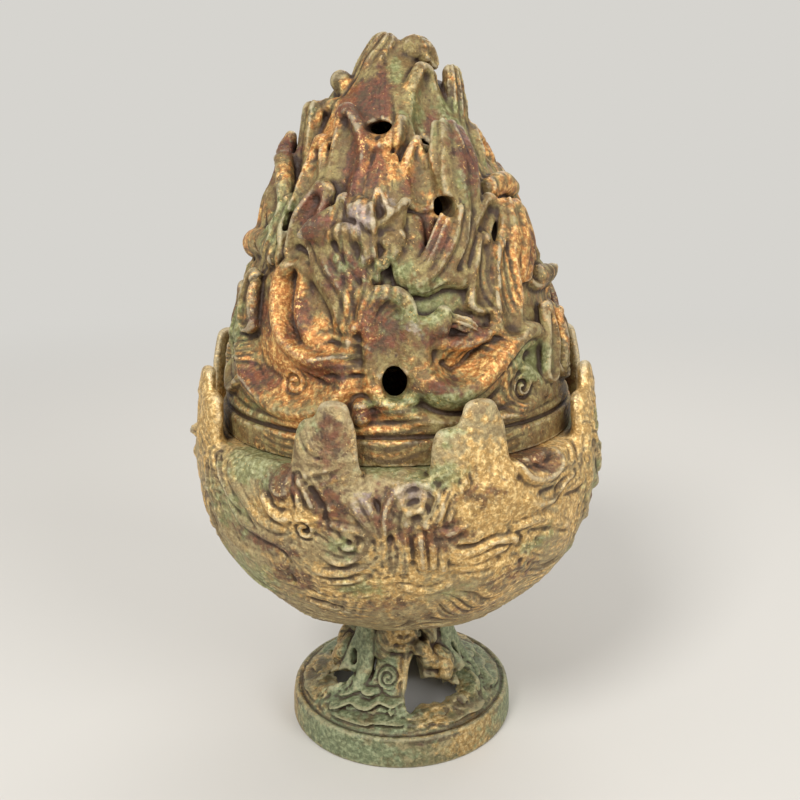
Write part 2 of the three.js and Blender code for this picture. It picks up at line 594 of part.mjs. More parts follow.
function openworkFoot() {
  const groove = 1;
  const rise = FOOT_HEIGHT - FOOT_BAND_HEIGHT;
  const dome = lathed([
    [FOOT_RADIUS - FOOT_BAND_WIDTH - FOOT_WALL / 2, 0],
    [FOOT_RADIUS, 0],
    [FOOT_RADIUS, FOOT_BAND_HEIGHT - groove],
    [FOOT_RADIUS - groove, FOOT_BAND_HEIGHT],
    ...steps(7, (s) => [domeRadius(FOOT_BAND_HEIGHT + s * rise), FOOT_BAND_HEIGHT + s * rise]),
    [0, FOOT_HEIGHT],
    [0, PLATE_UNDERSIDE_Z],
    ...steps(6, (s) => {
      const z = PLATE_UNDERSIDE_Z + s * (FOOT_BAND_HEIGHT - FOOT_WALL - PLATE_UNDERSIDE_Z);
      return [domeRadius(z + FOOT_WALL / 2) - FOOT_WALL, z];
    }),
    [FOOT_RADIUS - FOOT_BAND_WIDTH - FOOT_WALL / 2, 0],
  ]);
  const relief = FOOT_TURNS.flatMap((turn) => [
    ...FOOT_NECKS.map((neck) => peakOf(neck, onDome, turn)),
    ...FOOT_WAVES.map((wave) => ridgeOf(wave, onDome, turn)),
  ]);
  const holes = FOOT_TURNS.flatMap((turn) => FOOT_HOLES.map((hole) => tunnel(
    hole.azimuth + turn, FOOT_BAND_HEIGHT + hole.share * rise, hole.halfWidth, hole.halfHeight,
    NECK_RADIUS - FOOT_WALL, FOOT_RADIUS,
  )));
  const above = rod(FOOT_RADIUS, FOOT_HEIGHT, 2 * FOOT_HEIGHT);
  const rivetHole = rod(BORE_RADIUS, PLATE_UNDERSIDE_Z - 1, FOOT_HEIGHT + 1, RIVET_SIDES);
  return cut(joined(dome, relief), [...holes, above, rivetHole]);
}

// The rivet, with its domed head inside the bowl and its tail peened over a washer inside the foot

function joiningRivet() {
  const headZ = BOWL_FLOOR_Z + JOINT_GAP;
  const tailZ = PLATE_UNDERSIDE_Z - WASHER_THICKNESS - 2 * JOINT_GAP;
  return lathed([
    [0, tailZ - RIVET_TAIL_HEIGHT],
    [RIVET_TAIL_RADIUS * 0.6, tailZ - RIVET_TAIL_HEIGHT * 0.8],
    [RIVET_TAIL_RADIUS, tailZ],
    [RIVET_RADIUS, tailZ],
    [RIVET_RADIUS, headZ],
    [RIVET_HEAD_RADIUS, headZ],
    [RIVET_HEAD_RADIUS * 0.9, headZ + RIVET_HEAD_HEIGHT * 0.45],
    [RIVET_HEAD_RADIUS * 0.55, headZ + RIVET_HEAD_HEIGHT * 0.88],
    [0, headZ + RIVET_HEAD_HEIGHT],
  ], RIVET_SIDES);
}

function rivetWasher() {
  const top = PLATE_UNDERSIDE_Z - JOINT_GAP;
  const bottom = top - WASHER_THICKNESS;
  const bore = rod(BORE_RADIUS, bottom - 1, top + 1, RIVET_SIDES);
  return rod(WASHER_RADIUS, bottom, top, RIVET_SIDES).subtract(bore);
}

function mesh(name, solid, finish) {
  const { vertProperties, triVerts } = solid.getMesh();
  const geometry = new THREE.BufferGeometry();
  geometry.setAttribute('position', new THREE.Float32BufferAttribute(vertProperties, 3));
  geometry.setIndex(new THREE.Uint32BufferAttribute(triVerts, 1));
  geometry.computeVertexNormals();
  const made = new THREE.Mesh(geometry, new THREE.MeshStandardMaterial(finish));
  made.name = name;
  return made;
}

const burner = new THREE.Group();
burner.name = 'mountain_incense_burner';
burner.add(mesh('openwork_foot', openworkFoot(), GREEN_BRONZE));
burner.add(mesh('burner_bowl', burnerBowl(), BRONZE));
burner.add(mesh('mountain_lid', mountainLid(), BRONZE));
burner.add(mesh('joining_rivet', joiningRivet(), IRON));
burner.add(mesh('rivet_washer', rivetWasher(), IRON));

export default burner;
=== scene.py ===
# A bronze mountain incense burner, sculpted in voxels over its frame and finished with procedural patinas.
# Each casting is a body of revolution that carries a chart of relief and swept peaks. Millimetres are used for the
# sculpting and metres for the finished meshes. The front faces -Y, and azimuths grow towards +X.

import math
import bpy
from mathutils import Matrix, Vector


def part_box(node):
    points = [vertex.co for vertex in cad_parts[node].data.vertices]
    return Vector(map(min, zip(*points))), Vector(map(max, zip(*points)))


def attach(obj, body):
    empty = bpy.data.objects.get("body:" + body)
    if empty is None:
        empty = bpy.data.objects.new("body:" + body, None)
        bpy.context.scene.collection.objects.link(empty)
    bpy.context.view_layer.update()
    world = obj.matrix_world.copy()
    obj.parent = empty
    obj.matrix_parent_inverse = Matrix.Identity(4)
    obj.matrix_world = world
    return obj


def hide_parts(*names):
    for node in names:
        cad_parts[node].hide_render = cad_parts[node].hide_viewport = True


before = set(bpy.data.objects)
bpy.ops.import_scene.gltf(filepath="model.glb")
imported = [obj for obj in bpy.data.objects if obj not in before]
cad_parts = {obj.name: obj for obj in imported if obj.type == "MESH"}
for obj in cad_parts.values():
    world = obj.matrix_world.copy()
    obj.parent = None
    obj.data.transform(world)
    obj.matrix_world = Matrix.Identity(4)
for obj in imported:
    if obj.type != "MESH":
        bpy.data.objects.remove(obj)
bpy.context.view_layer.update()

from types import SimpleNamespace

import bpy
import numpy as np
import openvdb
from bpy.props import FloatProperty, FloatVectorProperty, PointerProperty
from mathutils import Euler, Vector

bl_info = {
    "name": "Mountain Incense Burner",
    "version": (1, 0, 0),
    "blender": (4, 5, 0),
    "location": "View3D > Sidebar > Burner",
    "description": "Builds a bronze mountain incense burner piece by piece",
    "category": "Add Mesh",
}

# Sizes that come from the frame, in millimetres

MM = 0.001


def box_mm(node):
    """The lowest and highest corner of a CAD node, in millimetres."""
    low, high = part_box(node)
    return np.array(low) / MM, np.array(high) / MM


LID_LOW, LID_HIGH = box_mm("mountain_lid")
BOWL_LOW = box_mm("burner_bowl")[0]
FOOT_HIGH = box_mm("openwork_foot")[1]
LID_RADIUS = (LID_HIGH[1] - LID_LOW[1]) / 2
LID_Z = LID_LOW[2]
LID_HEIGHT = LID_HIGH[2] - LID_Z

# Sculpting

# The distance that stands for far away from any surface
FAR = 40.0
# What keeps divisions off 0
TINY = 1e-6
# Spacing of the points along a sweep, and of those along a stroke of relief
SWEEP_SPACING = 1.6
STROKE_SPACING = 2.0
# Half the angle over which the front of a bar is ribbed, and how deep a flame's ribs are
RIBBED_ANGLE = 2.2
RIB_DEPTH = 1.0
# A flame's scoop: how far out and how thick it is as shares of the flame's thickness, how it blends, the shares of its
# first and last stretch that are left out, and its least half width
SCOOP_OUT = 1.25
SCOOP_THICK = 1.1
SCOOP_BLEND = 1.6
SCOOP_START = 0.15
SCOOP_END = 0.25
SCOOP_LEAST = 0.6
# How far from the surface a relief raises it, and over what depth it comes in
EMBOSS_REACH = 6.0
EMBOSS_DEPTH = 1.6


def smooth_step(low, high, value):
    """0 up to low, 1 from high on, and a smooth rise between them."""
    share = np.clip((value - low) / (high - low), 0.0, 1.0)
    return share * share * (3.0 - 2.0 * share)


def curve_through(points, spacing):
    """Points along a smooth curve through the given ones (Catmull-Rom), about spacing apart in their own units."""
    points = np.asarray(points, float)
    if len(points) == 2:
        points = np.array([points[0], points.mean(0), points[1]])
    ends = np.concatenate([[2 * points[0] - points[1]], points, [2 * points[-1] - points[-2]]])
    found = []
    for before, start, stop, after in zip(ends, ends[1:], ends[2:], ends[3:], strict=False):
        count = max(2, int(np.ceil(np.linalg.norm(stop[:3] - start[:3]) / spacing)))
        t = (np.arange(count) / count)[:, None]
        found.append(
            0.5 * (
                2 * start + (stop - before) * t
                + (2 * before - 5 * start + 4 * stop - after) * t**2
                + (3 * start - before - 3 * stop + after) * t**3
            )
        )
    return np.concatenate([*found, points[-1:]])


def bar_axes(start, stop):
    """The length of one stretch of a bar, and its directions: along, across, and away from the burner's axis."""
    length = np.linalg.norm(stop - start)
    along = (stop - start) / length
    out = np.array([start[0], start[1], 0.0]) + TINY
    out /= np.linalg.norm(out)
    across = np.cross(along, out)
    if np.linalg.norm(across) < 0.2:
        across = np.cross(along, [0.0, 0.0, 1.0])
    across /= np.linalg.norm(across) + 1e-9
    return length, along, across, np.cross(across, along)


class Solid:
    """A body on a grid of voxels: the distance to its surface in millimetres, below 0 inside."""

    def __init__(self, low, high, step):
        self.low = np.asarray(low, float)
        self.step = step
        self.count = np.ceil((np.asarray(high) - self.low) / step).astype(int) + 1
        self.x, self.y, self.z = (self.low[i] + step * np.arange(self.count[i]) for i in range(3))
        self.reach = np.hypot(self.x[:, None], self.y[None, :])
        self.turn = np.degrees(np.arctan2(self.x[:, None], -self.y[None, :]))
        self.values = np.full(self.count, FAR, np.float32)

    def window(self, low, high):
        """The slices of the grid that hold the box from low to high."""
        first = np.clip(np.floor((low - self.low) / self.step).astype(int), 0, self.count - 1)
        last = np.clip(np.ceil((high - self.low) / self.step).astype(int) + 1, 1, self.count)
        return tuple(slice(a, max(a + 1, b)) for a, b in zip(first, last, strict=True))

    def places(self, window):
        """The x, y and z of a window's voxels, each along its own axis."""
        places = (axis[part] for axis, part in zip((self.x, self.y, self.z), window, strict=True))
        return np.ix_(*(place.astype(np.float32) for place in places))

    def join(self, window, distance, blend, cutting=False):
        """Adds a form to the solid or cuts it out, with a fillet about blend wide."""
        sign = -1 if cutting else 1
        here = sign * self.values[window]
        gap = np.maximum(blend - np.abs(here - distance), 0.0) / blend
        self.values[window] = sign * (np.minimum(here, distance) - gap * gap * blend * 0.25)

    def sweep(self, path, widths, thicks, ribs=0, rib_depth=0.0, blend=1.5, cutting=False):
        """A tapering bar of elliptical section along a path of x, y, z points, round at both ends."""
        stations = np.linspace(0, 1, len(path))
        line = curve_through(path, SWEEP_SPACING)
        share = np.linspace(0, 1, len(line))
        wide = np.interp(share, stations, np.broadcast_to(widths, len(path)))
        thick = np.interp(share, stations, np.broadcast_to(thicks, len(path)))
        reach = max(wide.max(), thick.max()) + blend + 2 * self.step
        window = self.window(line.min(0) - reach, line.max(0) + reach)
        shape = self.values[window].shape
        distance = np.full(shape, FAR, np.float32)
        start = np.array([part.start for part in window])
        for i, (a, b) in enumerate(zip(line, line[1:], strict=False)):
            if np.linalg.norm(b - a) < TINY:
                continue
            length, along, across, away = bar_axes(a, b)
            near = max(wide[i], wide[i + 1], thick[i], thick[i + 1]) + blend + self.step
            part = self.window(np.minimum(a, b) - near, np.maximum(a, b) + near)
            local = tuple(slice(max(0, p.start - s), min(n, p.stop - s))
                          for p, s, n in zip(part, start, shape, strict=True))
            if any(p.stop <= p.start for p in local):
                continue
            part = tuple(slice(p.start + s, p.stop + s) for p, s in zip(local, start, strict=True))
            x, y, z = self.places(part)
            x, y, z = x - np.float32(a[0]), y - np.float32(a[1]), z - np.float32(a[2])
            on = x * along[0] + y * along[1] + z * along[2]
            t = np.clip(on / length, 0.0, 1.0)
            past = on - t * length
            u = x * across[0] + y * across[1] + z * across[2]
            v = x * away[0] + y * away[1] + z * away[2]
            w = wide[i] + (wide[i + 1] - wide[i]) * t
            h = thick[i] + (thick[i + 1] - thick[i]) * t
            cap = np.minimum(w, h)
            eu, ev, ec = u / w, v / h, past / cap
            k0 = np.sqrt(eu * eu + ev * ev + ec * ec) + TINY
            k1 = np.sqrt((eu / w) ** 2 + (ev / h) ** 2 + (ec / cap) ** 2) + TINY
            d = k0 * (k0 - 1.0) / k1
            if ribs:
                turn = np.arctan2(eu, ev)
                front = np.clip(2 - 2 * np.abs(turn) / RIBBED_ANGLE, 0, 1)
                d = d + rib_depth * (0.5 - 0.5 * np.cos(2 * ribs * turn)) * front
            distance[local] = np.minimum(distance[local], d)
        self.join(window, distance, blend, cutting)

    def flame(self, path, widths, thicks, ribs=0, rim=0.0):
        """A tapering flame, ribbed or with its front scooped out so that a rim stands round it."""
        self.sweep(path, widths, thicks, ribs, RIB_DEPTH)
        if not rim:
            return
        scoop, thicks = np.array(path), np.array(thicks)
        out = scoop[:, :2] / np.linalg.norm(scoop[:, :2], axis=1)[:, None]
        scoop[:, :2] += out * thicks[:, None] * SCOOP_OUT
        scoop[-1] += (scoop[-2] - scoop[-1]) * SCOOP_END
        scoop[0] += (scoop[1] - scoop[0]) * SCOOP_START
        widths = np.maximum(np.array(widths) - rim, SCOOP_LEAST)
        self.sweep(scoop, widths, thicks * SCOOP_THICK, cutting=True, blend=SCOOP_BLEND)

    def revolve(self, profile, relief=None, limit=14.0):
        """The distance to a body of revolution, with a relief's heights standing on its outside."""
        step = self.step / 2
        radii = np.arange(0, self.reach.max() + step, step)
        flat = profile_distance(profile, radii, self.z)
        found = np.empty(self.count, np.float32)
        for i in range(self.count[0]):
            place = self.reach[i] / step
            first = np.minimum(place.astype(int), len(radii) - 2)
            part = (place - first)[:, None].astype(np.float32)
            found[i] = flat[first] * (1 - part) + flat[first + 1] * part
            if relief is not None:
                near = np.abs(found[i]) < limit
                columns, levels = np.nonzero(near)
                found[i][near] -= relief.at(self.turn[i][columns], self.reach[i][columns], self.z[levels])
        return found

    def blurred(self, radius):
        """How full the neighbourhood of each voxel is, from 0 to 1, within about radius."""
        full = np.clip(0.5 - self.values / self.step, 0, 1).astype(np.float32)
        size = max(1, int(round(radius / self.step)))
        for axis in range(3):
            for _ in range(2):
                total = np.cumsum(np.pad(full, [(size + 1, size) if a == axis else (0, 0) for a in range(3)],
                                         mode="edge"), axis=axis, dtype=np.float32)
                count = full.shape[axis]
                upper = np.take(total, np.arange(count) + 2 * size + 1, axis=axis)
                lower = np.take(total, np.arange(count), axis=axis)
                full = (upper - lower) / (2 * size + 1)
        return full

    def emboss(self, relief, base):
        """Raises a relief on what faces out beyond a base radius, given for each level."""
        for i in range(self.count[0]):
            near = (np.abs(self.values[i]) < EMBOSS_REACH) & (self.reach[i][:, None] > base[None, :])
            columns, levels = np.nonzero(near)
            radius = self.reach[i][columns]
            weight = smooth_step(0, EMBOSS_DEPTH, radius - base[levels])
            self.values[i][near] -= weight * relief.at(self.turn[i][columns], radius, self.z[levels])

    def sample(self, array, points):
        """The values of an array over the grid at points between its voxels."""
        place = (points - self.low) / self.step
        first = np.clip(np.floor(place).astype(int), 0, np.array(array.shape) - 2)
        part = np.clip(place - first, 0, 1)
        found = 0.0
        for corner in np.ndindex(2, 2, 2):
            weight = np.prod(np.where(corner, part, 1 - part), axis=1)
            i, j, k = (first + corner).T
            found = found + weight * array[i, j, k]
        return found

    def surface(self):
        """The surface's points in millimetres, its faces' corners in one row, and how many corners each face has."""
        grid = openvdb.FloatGrid(3 * self.step)
        grid.copyFromArray(np.clip(self.values, -3 * self.step, 3 * self.step))
        points, triangles, quads = grid.convertToPolygons(isovalue=0.0, adaptivity=0.0)
        labels = np.arange(len(points))
        edges = [face[:, [k, (k + 1) % face.shape[1]]] for face in (triangles, quads) for k in range(face.shape[1])]
        starts, stops = np.concatenate(edges).astype(int).T
        while True:
            joined = labels.copy()
            low = np.minimum(labels[starts], labels[stops])
            np.minimum.at(joined, starts, low)
            np.minimum.at(joined, stops, low)
            joined = joined[joined]
            if (joined == labels).all():
                break
            labels = joined
        kept = labels == np.bincount(labels).argmax()
        places = np.cumsum(kept) - 1
        faces = [places[face[kept[face[:, 0]]]] for face in (triangles, quads)]
        sizes = np.concatenate([np.full(len(face), face.shape[1]) for face in faces])
        loops = np.concatenate([face.ravel() for face in faces])
        return points[kept].astype(float) * self.step + self.low, loops, sizes


def grid_step(voxel):
    return voxel * 1


def profile_distance(profile, radii, levels):
    """The signed distance in the plane of radius and height to a closed outline of (radius, height) points."""
    rho = radii[:, None]
    z = levels[None, :]
    best = np.full((len(radii), len(levels)), np.inf)
    inside = np.zeros(best.shape, bool)
    for (r0, z0), (r1, z1) in zip(profile, profile[1:] + profile[:1], strict=True):
        dr, dz = r1 - r0, z1 - z0
        square = dr * dr + dz * dz
        if square < 1e-12:
            continue
        if r0 > TINY or r1 > TINY:
            t = np.clip(((rho - r0) * dr + (z - z0) * dz) / square, 0, 1)
            best = np.minimum(best, (rho - r0 - t * dr) ** 2 + (z - z0 - t * dz) ** 2)
        crosses = (z0 > z) != (z1 > z)
        with np.errstate(divide="ignore", invalid="ignore"):
            at = r0 + (z - z0) * dr / dz if dz else np.inf
        inside ^= crosses & (rho < at)
    return (np.sqrt(best) * np.where(inside, -1.0, 1.0)).astype(np.float32)


# The uneven strands of a flow: width as a share of its pitch, share of its height, and shift
STRANDS = [(1.0, 0.55, 0.0), (1.72, 0.6, 1.3), (2.9, 0.5, 2.1)]
# The width of the patina's streaks as a share of the flow's pitch
STREAK_SHARE = 1.35
# How far inside its outline a casting is plain, and where its streaks are whole
PLAIN_INSIDE = -3.5
STREAKED_OUTSIDE = -1.5
# The share of a lower ridge that stands on under a later one
RIDGE_REMAINS = 0.35
# How sharply a ridge rises, the width of a lip's outer side, and the least radius that a chart reckons with
RIDGE_SHARPNESS = 0.75
LIP_OUTSIDE = 1.4
LEAST_RADIUS = 3.0


class Relief:
    """Heights in millimetres on a chart of azimuth (degrees) and level, which follows the body's outline."""

    AZIMUTH_STEP = 0.5

    def __init__(self, low, high, step, radius_at, stretch_at, level_at):
        self.azimuths = np.arange(-180, 180, self.AZIMUTH_STEP)
        self.levels = np.arange(low, high + step, step)
        self.step = step
        self.radii = radius_at(self.levels)
        self.across = np.maximum(self.radii, LEAST_RADIUS) * math.pi / 180
        self.up = stretch_at(self.levels)
        self.level_at = level_at
        self.height = np.zeros((len(self.azimuths), len(self.levels)), np.float32)
        self.streaks = np.zeros(self.height.shape)

    def at(self, azimuth, reach, z, chart=None):
        """The height, or another chart's value, that belongs to places in space."""
        chart = self.height if chart is None else chart
        across = (azimuth + 180) / self.AZIMUTH_STEP
        up = np.clip((self.level_at(reach, z) - self.levels[0]) / self.step, 0, len(self.levels) - 1.001)
        i, j = np.floor(across).astype(int), np.floor(up).astype(int)
        s, t = across - i, up - j
        n = len(self.azimuths)
        a = chart[i % n, j] * (1 - t) + chart[i % n, j + 1] * t
        b = chart[(i + 1) % n, j] * (1 - t) + chart[(i + 1) % n, j + 1] * t
        return a * (1 - s) + b * s

    def streaks_at(self, azimuth, reach, z):
        """The flow's streaks on the outside, and 0 on the plain inside."""
        outline = self.at(azimuth, reach, z, np.broadcast_to(self.radii, self.height.shape))
        return self.at(azimuth, reach, z, self.streaks) * smooth_step(PLAIN_INSIDE, STREAKED_OUTSIDE, reach - outline)

    def window(self, points, margin):
        """The chart's cells within margin of the points: their indices, azimuths and levels."""
        points = np.asarray(points, float)
        j0 = np.searchsorted(self.levels, points[:, 1].min() - margin / self.up.min() - self.step)
        j1 = np.searchsorted(self.levels, points[:, 1].max() + margin / self.up.min() + self.step)
        j0, j1 = max(0, j0), min(len(self.levels), max(j1, j0 + 2))
        wide = margin / self.across[j0:j1].min()
        first = math.floor((points[:, 0].min() - wide + 180) / self.AZIMUTH_STEP)
        last = math.ceil((points[:, 0].max() + wide + 180) / self.AZIMUTH_STEP)
        last = min(last, first + len(self.azimuths) - 1)
        columns = np.arange(first, last + 1)
        azimuths = columns * self.AZIMUTH_STEP - 180
        return np.ix_(columns % len(self.azimuths), np.arange(j0, j1)), azimuths[:, None], slice(j0, j1)

    def stroke(self, points, margin):
        """For the cells near a curve: where they are, how far off it, on which side, and how far along it."""
        line = curve_through(points, STROKE_SPACING)
        cells, azimuth, rows = self.window(line, margin)
        level = self.levels[rows][None, :]
        across, up = self.across[rows][None, :], self.up[rows][None, :]
        best = np.full((len(azimuth), level.shape[1]), np.inf)
        side = np.ones(best.shape)
        share = np.zeros(best.shape)
        for i, (start, stop) in enumerate(zip(line, line[1:], strict=False)):
            x, y = (azimuth - start[0]) * across, (level - start[1]) * up
            dx, dy = (stop[0] - start[0]) * across, (stop[1] - start[1]) * up
            t = np.clip((x * dx + y * dy) / (dx * dx + dy * dy + 1e-9), 0, 1)
            off = (x - t * dx) ** 2 + (y - t * dy) ** 2
            closer = off < best
            best = np.where(closer, off, best)
            side = np.where(closer, np.sign(dx * y - dy * x), side)
            share = np.where(closer, (i + t) / (len(line) - 1), share)
        return cells, np.sqrt(best), side, share

    def ridge(self, points, height, width):
        """A round fold along a path, or a groove where height is below 0."""
        cells, off, _, share = self.stroke(points, width + 1)
        fade = smooth_step(0, 0.15, share) * smooth_step(0, 0.15, 1 - share)
        form = height * np.clip(1 - (off / width) ** 2, 0, 1) ** RIDGE_SHARPNESS * (0.25 + 0.75 * fade)
        here = self.height[cells]
        over = np.where(here > 0, RIDGE_REMAINS * here, here) + form
        self.height[cells] = np.maximum(here, over) if height > 0 else here + form

    def lip(self, points, height, inside, side=1, crest=1.6, scoop=0.8, lines=0.0, pitch=2.4):
        """A raised edge with a scooped hollow on one side of it, the left of its way where side is 1."""
        cells, off, which, share = self.stroke(points, inside + 1)
        s = off * which * side
        fade = smooth_step(0, 0.14, share) * smooth_step(0, 0.14, 1 - share)
        target = height - (height + scoop) * smooth_step(crest * 0.6, crest + inside * 0.45, s)
        target = target - 0.35 * height * smooth_step(crest * 0.5, 0, s) * smooth_step(-LIP_OUTSIDE, 0, s)
        weight = smooth_step(-LIP_OUTSIDE, 0.2, s) * (1 - smooth_step(inside * 0.55, inside, s)) * fade
        if lines:
            comb = lines * (0.5 - 0.5 * np.cos(2 * math.pi * (s - crest) / pitch))
            target = target - comb * smooth_step(crest, crest + pitch, s)
        here = self.height[cells]
        self.height[cells] = here + (target - here) * weight

    def nearby(self, azimuth, level, reach):
        """The cells within reach of a place, and how far across and above it they lie."""
        cells, azimuths, rows = self.window([(azimuth, level)], reach + 1)
        x = (azimuths - azimuth) * self.across[rows][None, :]
        return cells, x, (self.levels[rows][None, :] - level) * self.up[rows][None, :]

    def mound(self, azimuth, level, wide, tall, height):
        """An oval swelling, or a dent where height is below 0."""
        cells, x, y = self.nearby(azimuth, level, max(wide, tall))
        self.height[cells] += height * (1 - smooth_step(0, 1, np.hypot(x / wide, y / tall)))

    def whirl(self, azimuth, level, radius, height, pitch, hand=1):
        """A spiral ridge that winds into a point."""
        cells, x, y = self.nearby(azimuth, level, radius)
        off = np.hypot(x, y)
        wave = np.cos(2 * math.pi * off / pitch - hand * np.arctan2(y, x))
        self.height[cells] += height * wave * (1 - smooth_step(radius * 0.7, radius, off))

    def nearness(self, paths, reach):
        """How far each cell lies from the nearest of the paths, up to reach."""
        found = np.full(self.height.shape, float(reach))
        for points in paths:
            cells, off, _, _ = self.stroke(points, reach)
            found[cells] = np.minimum(found[cells], off)
        return found

    def flow(self, field, height, pitch, keep=1.0):
        """Strands of uneven width and height along the contour lines of a field given on the whole chart."""
        wave = sum(share * np.cos(2 * math.pi * field / (pitch * wide) + shift) for wide, share, shift in STRANDS)
        self.height += (height * wave * keep).astype(np.float32)
        self.streaks += keep * np.cos(2 * math.pi * field / (pitch * STREAK_SHARE) + 2.0)


# Places on the burner, in millimetres

LID_BAND_HEIGHT = 8.5
LID_BAND_STEP = 1.5
LID_WALL = 4.0
LID_BORE = LID_RADIUS - LID_BAND_STEP - LID_WALL
LID_SHOULDER = 1.7
LID_TAPER = 0.8

BOWL_RADIUS = 75.0
BOWL_DEPTH = 65.0
BOWL_ROUNDNESS = 2.2
BOWL_WALL = 4.5
BOWL_FOOT_Z = BOWL_LOW[2]
WAIST_Z = BOWL_FOOT_Z + BOWL_DEPTH
LEDGE_Z = WAIST_Z + 13.0
LEDGE_RADIUS = 70.0
LIP_OUTER = LID_BORE - 0.6
LIP_INNER = LIP_OUTER - 3.0
LIP_Z = LEDGE_Z + 4.5
LIP_ROUNDING = 0.8
SEAT_RADIUS = 15.0
# The height over its seat from which the bowl's outline is drawn in wide steps, and the least radius of its inside
SEAT_RISE = 12.0
FLOOR_RADIUS = 9.0
BORE = 3.3

FOOT_RADIUS = 44.5
FOOT_BAND_HEIGHT = 12.0
FOOT_TOP = FOOT_HIGH[2]
FOOT_PLATE_Z = FOOT_TOP - 5.0
NECK_RADIUS = 15.5
# How far the dome's edge lies inside the band, and the height over which it narrows
DOME_INSET = 4.5
DOME_FLARE = 11.5


def turned(points, turn):
    """Places with their azimuths turned, which come first in each."""
    return [(azimuth + turn, *rest) for azimuth, *rest in points]


def around(azimuth, radius, z):
    """A point at an azimuth, a distance from the axis and a height."""
    turn = math.radians(azimuth)
    return radius * math.sin(turn), -radius * math.cos(turn), z


def mountain_radius(rise):
    """The radius of the mountain's slope at a rise over the lid's rim."""
    share = np.clip(np.asarray(rise, float) / LID_HEIGHT, 0.0, 1.0)
    return (LID_RADIUS - LID_BAND_STEP) * (1 - share**LID_SHOULDER) ** LID_TAPER


def on_slope(azimuth, rise, lift):
    """A point that is lift off the mountain's slope."""
    return around(azimuth, float(mountain_radius(rise)) + lift, LID_Z + rise)


def near_summit(right, behind, rise):
    """A point beside the axis, at a rise over the lid's rim."""
    return right, behind, LID_Z + rise


def bowl_radius(z):
    """The bowl's radius at a height: a round cup that draws in to its ledge."""
    below = np.clip((WAIST_Z - np.asarray(z, float)) / BOWL_DEPTH, 0.0, 1.0)
    above = np.clip((np.asarray(z, float) - WAIST_Z) / (LEDGE_Z - WAIST_Z), 0.0, 1.0)
    cup = BOWL_RADIUS * (1 - below**BOWL_ROUNDNESS) ** (1 / BOWL_ROUNDNESS)
    return cup - (BOWL_RADIUS - LEDGE_RADIUS) * above**3


def dome_radius(z):
    """The radius of the foot's dome at a height, which flares down from its neck."""
    spread = FOOT_RADIUS - DOME_INSET - NECK_RADIUS
    return NECK_RADIUS + spread * np.exp((FOOT_BAND_HEIGHT - np.asarray(z, float)) / DOME_FLARE)


def on_dome(azimuth, z, lift):
    """A point that is lift off the foot's dome."""
    return around(azimuth, float(dome_radius(z)) + lift, z)


# The lid

# Flames of one face: path of (azimuth, rise, lift), half widths, half thicknesses, ribs, and the rim left where its
# front is scooped out
FLAMES = [
    ([(-26, 82, 0), (-23, 91, 2), (-26, 100, 3), (-34, 108, 3.5)], [6.5, 7.5, 6.5, 4], [3.5, 3.5, 3.5, 3], 0, 1.7),
    ([(-44, 76, 0), (-42, 88, 2), (-45, 99, 3)], [6, 6.5, 3.5], [3.5, 3.5, 2.5], 0, 1.5),
    ([(-8, 76, 0), (-8, 86, 1), (-9, 93, 1)], [9, 9, 7], [2.8, 2.8, 2.2], 0, 0),
    ([(29, 76, 0.5), (28, 86, 4), (30, 95, 5.5), (33, 101.5, 4.5)], [8, 9.4, 9.2, 7], [5, 5.5, 5, 4], 4, 0),
    ([(13, 80, 0.5), (11, 91, 2), (13, 99, 3.5)], [6.5, 5.4, 1.6], [3.5, 3.2, 1.5], 0, 1.4),
    ([(5, 74, 0.5), (5, 66, 1), (5, 60, 2), (8, 56, 2.5)], [5, 5.5, 5.5, 5], [2.6, 2.8, 2.8, 2.8], 0, 0),
    ([(8, 56, 2.5), (14, 60, 3), (20, 68, 4), (25, 77, 5)], [5, 6.5, 7, 5.4], [2.8, 3.2, 3.4, 2.8], 4, 0),
    ([(49, 57, 1), (53, 67, 3.5), (56, 76, 4)], [9, 10, 8.6], [4.5, 5, 4.4], 4, 0),
    ([(27, 59, 1), (35, 71, 2.5), (45, 79, 3)], [4, 4.6, 4], [3, 3, 2.6], 0, 1.3),
    ([(38, 40, 1.5), (39, 51, 3), (40, 60, 4), (44, 69, 4.5)], [6, 7.4, 6.4, 1.8], [3.2, 3.6, 3.4, 1.6], 0, 1.7),
    ([(29, 48, 0.5), (33, 61, 2), (35, 68, 3)], [5, 5.4, 3], [3, 3, 2.2], 0, 1.4),
    ([(-13, 43, 0.5), (-16, 53, 2), (-22, 60, 2.5), (-28, 67, 3)], [6, 7, 7, 6], [3, 3.6, 3.6, 3.2], 4, 0),
    ([(-39, 64, 1), (-36, 74, 3), (-31, 84, 4)], [6, 6.4, 4], [3.4, 4, 3], 0, 1.6),
    ([(-11, 32, 0), (-10.5, 42, 2)], [5, 4.8], [3, 3], 0, 1.5),
    ([(-2, 30, 0.5), (-2, 42, 2.5), (-2, 51, 3.5)], [7.5, 8.4, 7], [3.2, 3.6, 3.4], 0, 1.8),
    ([(-11, 43, 1), (-11, 54, 3), (-5, 53.5, 4.4), (2, 52.5, 4.4), (4, 46, 3)], [1.8] * 5, [2] * 5, 0, 0),
    ([(7, 33, 1), (7, 39, 1.5), (7, 44, 2)], [3.6, 3.6, 3], [2.6, 2.6, 2.4], 0, 0),
    ([(-60, 40, 1), (-61, 48, 2.5), (-60, 56, 3)], [7, 6.5, 3], [3.5, 3.5, 2.4], 0, 1.5),
    ([(57, 22, 1), (59, 34, 2.5), (60, 44, 3)], [5.5, 6, 3], [3.2, 3.4, 2.4], 0, 1.6),
    ([(-52, 62, 0.5), (-55, 72, 2), (-52, 80, 3)], [6, 6.5, 3.6], [3.4, 3.6, 2.6], 3, 0),
]
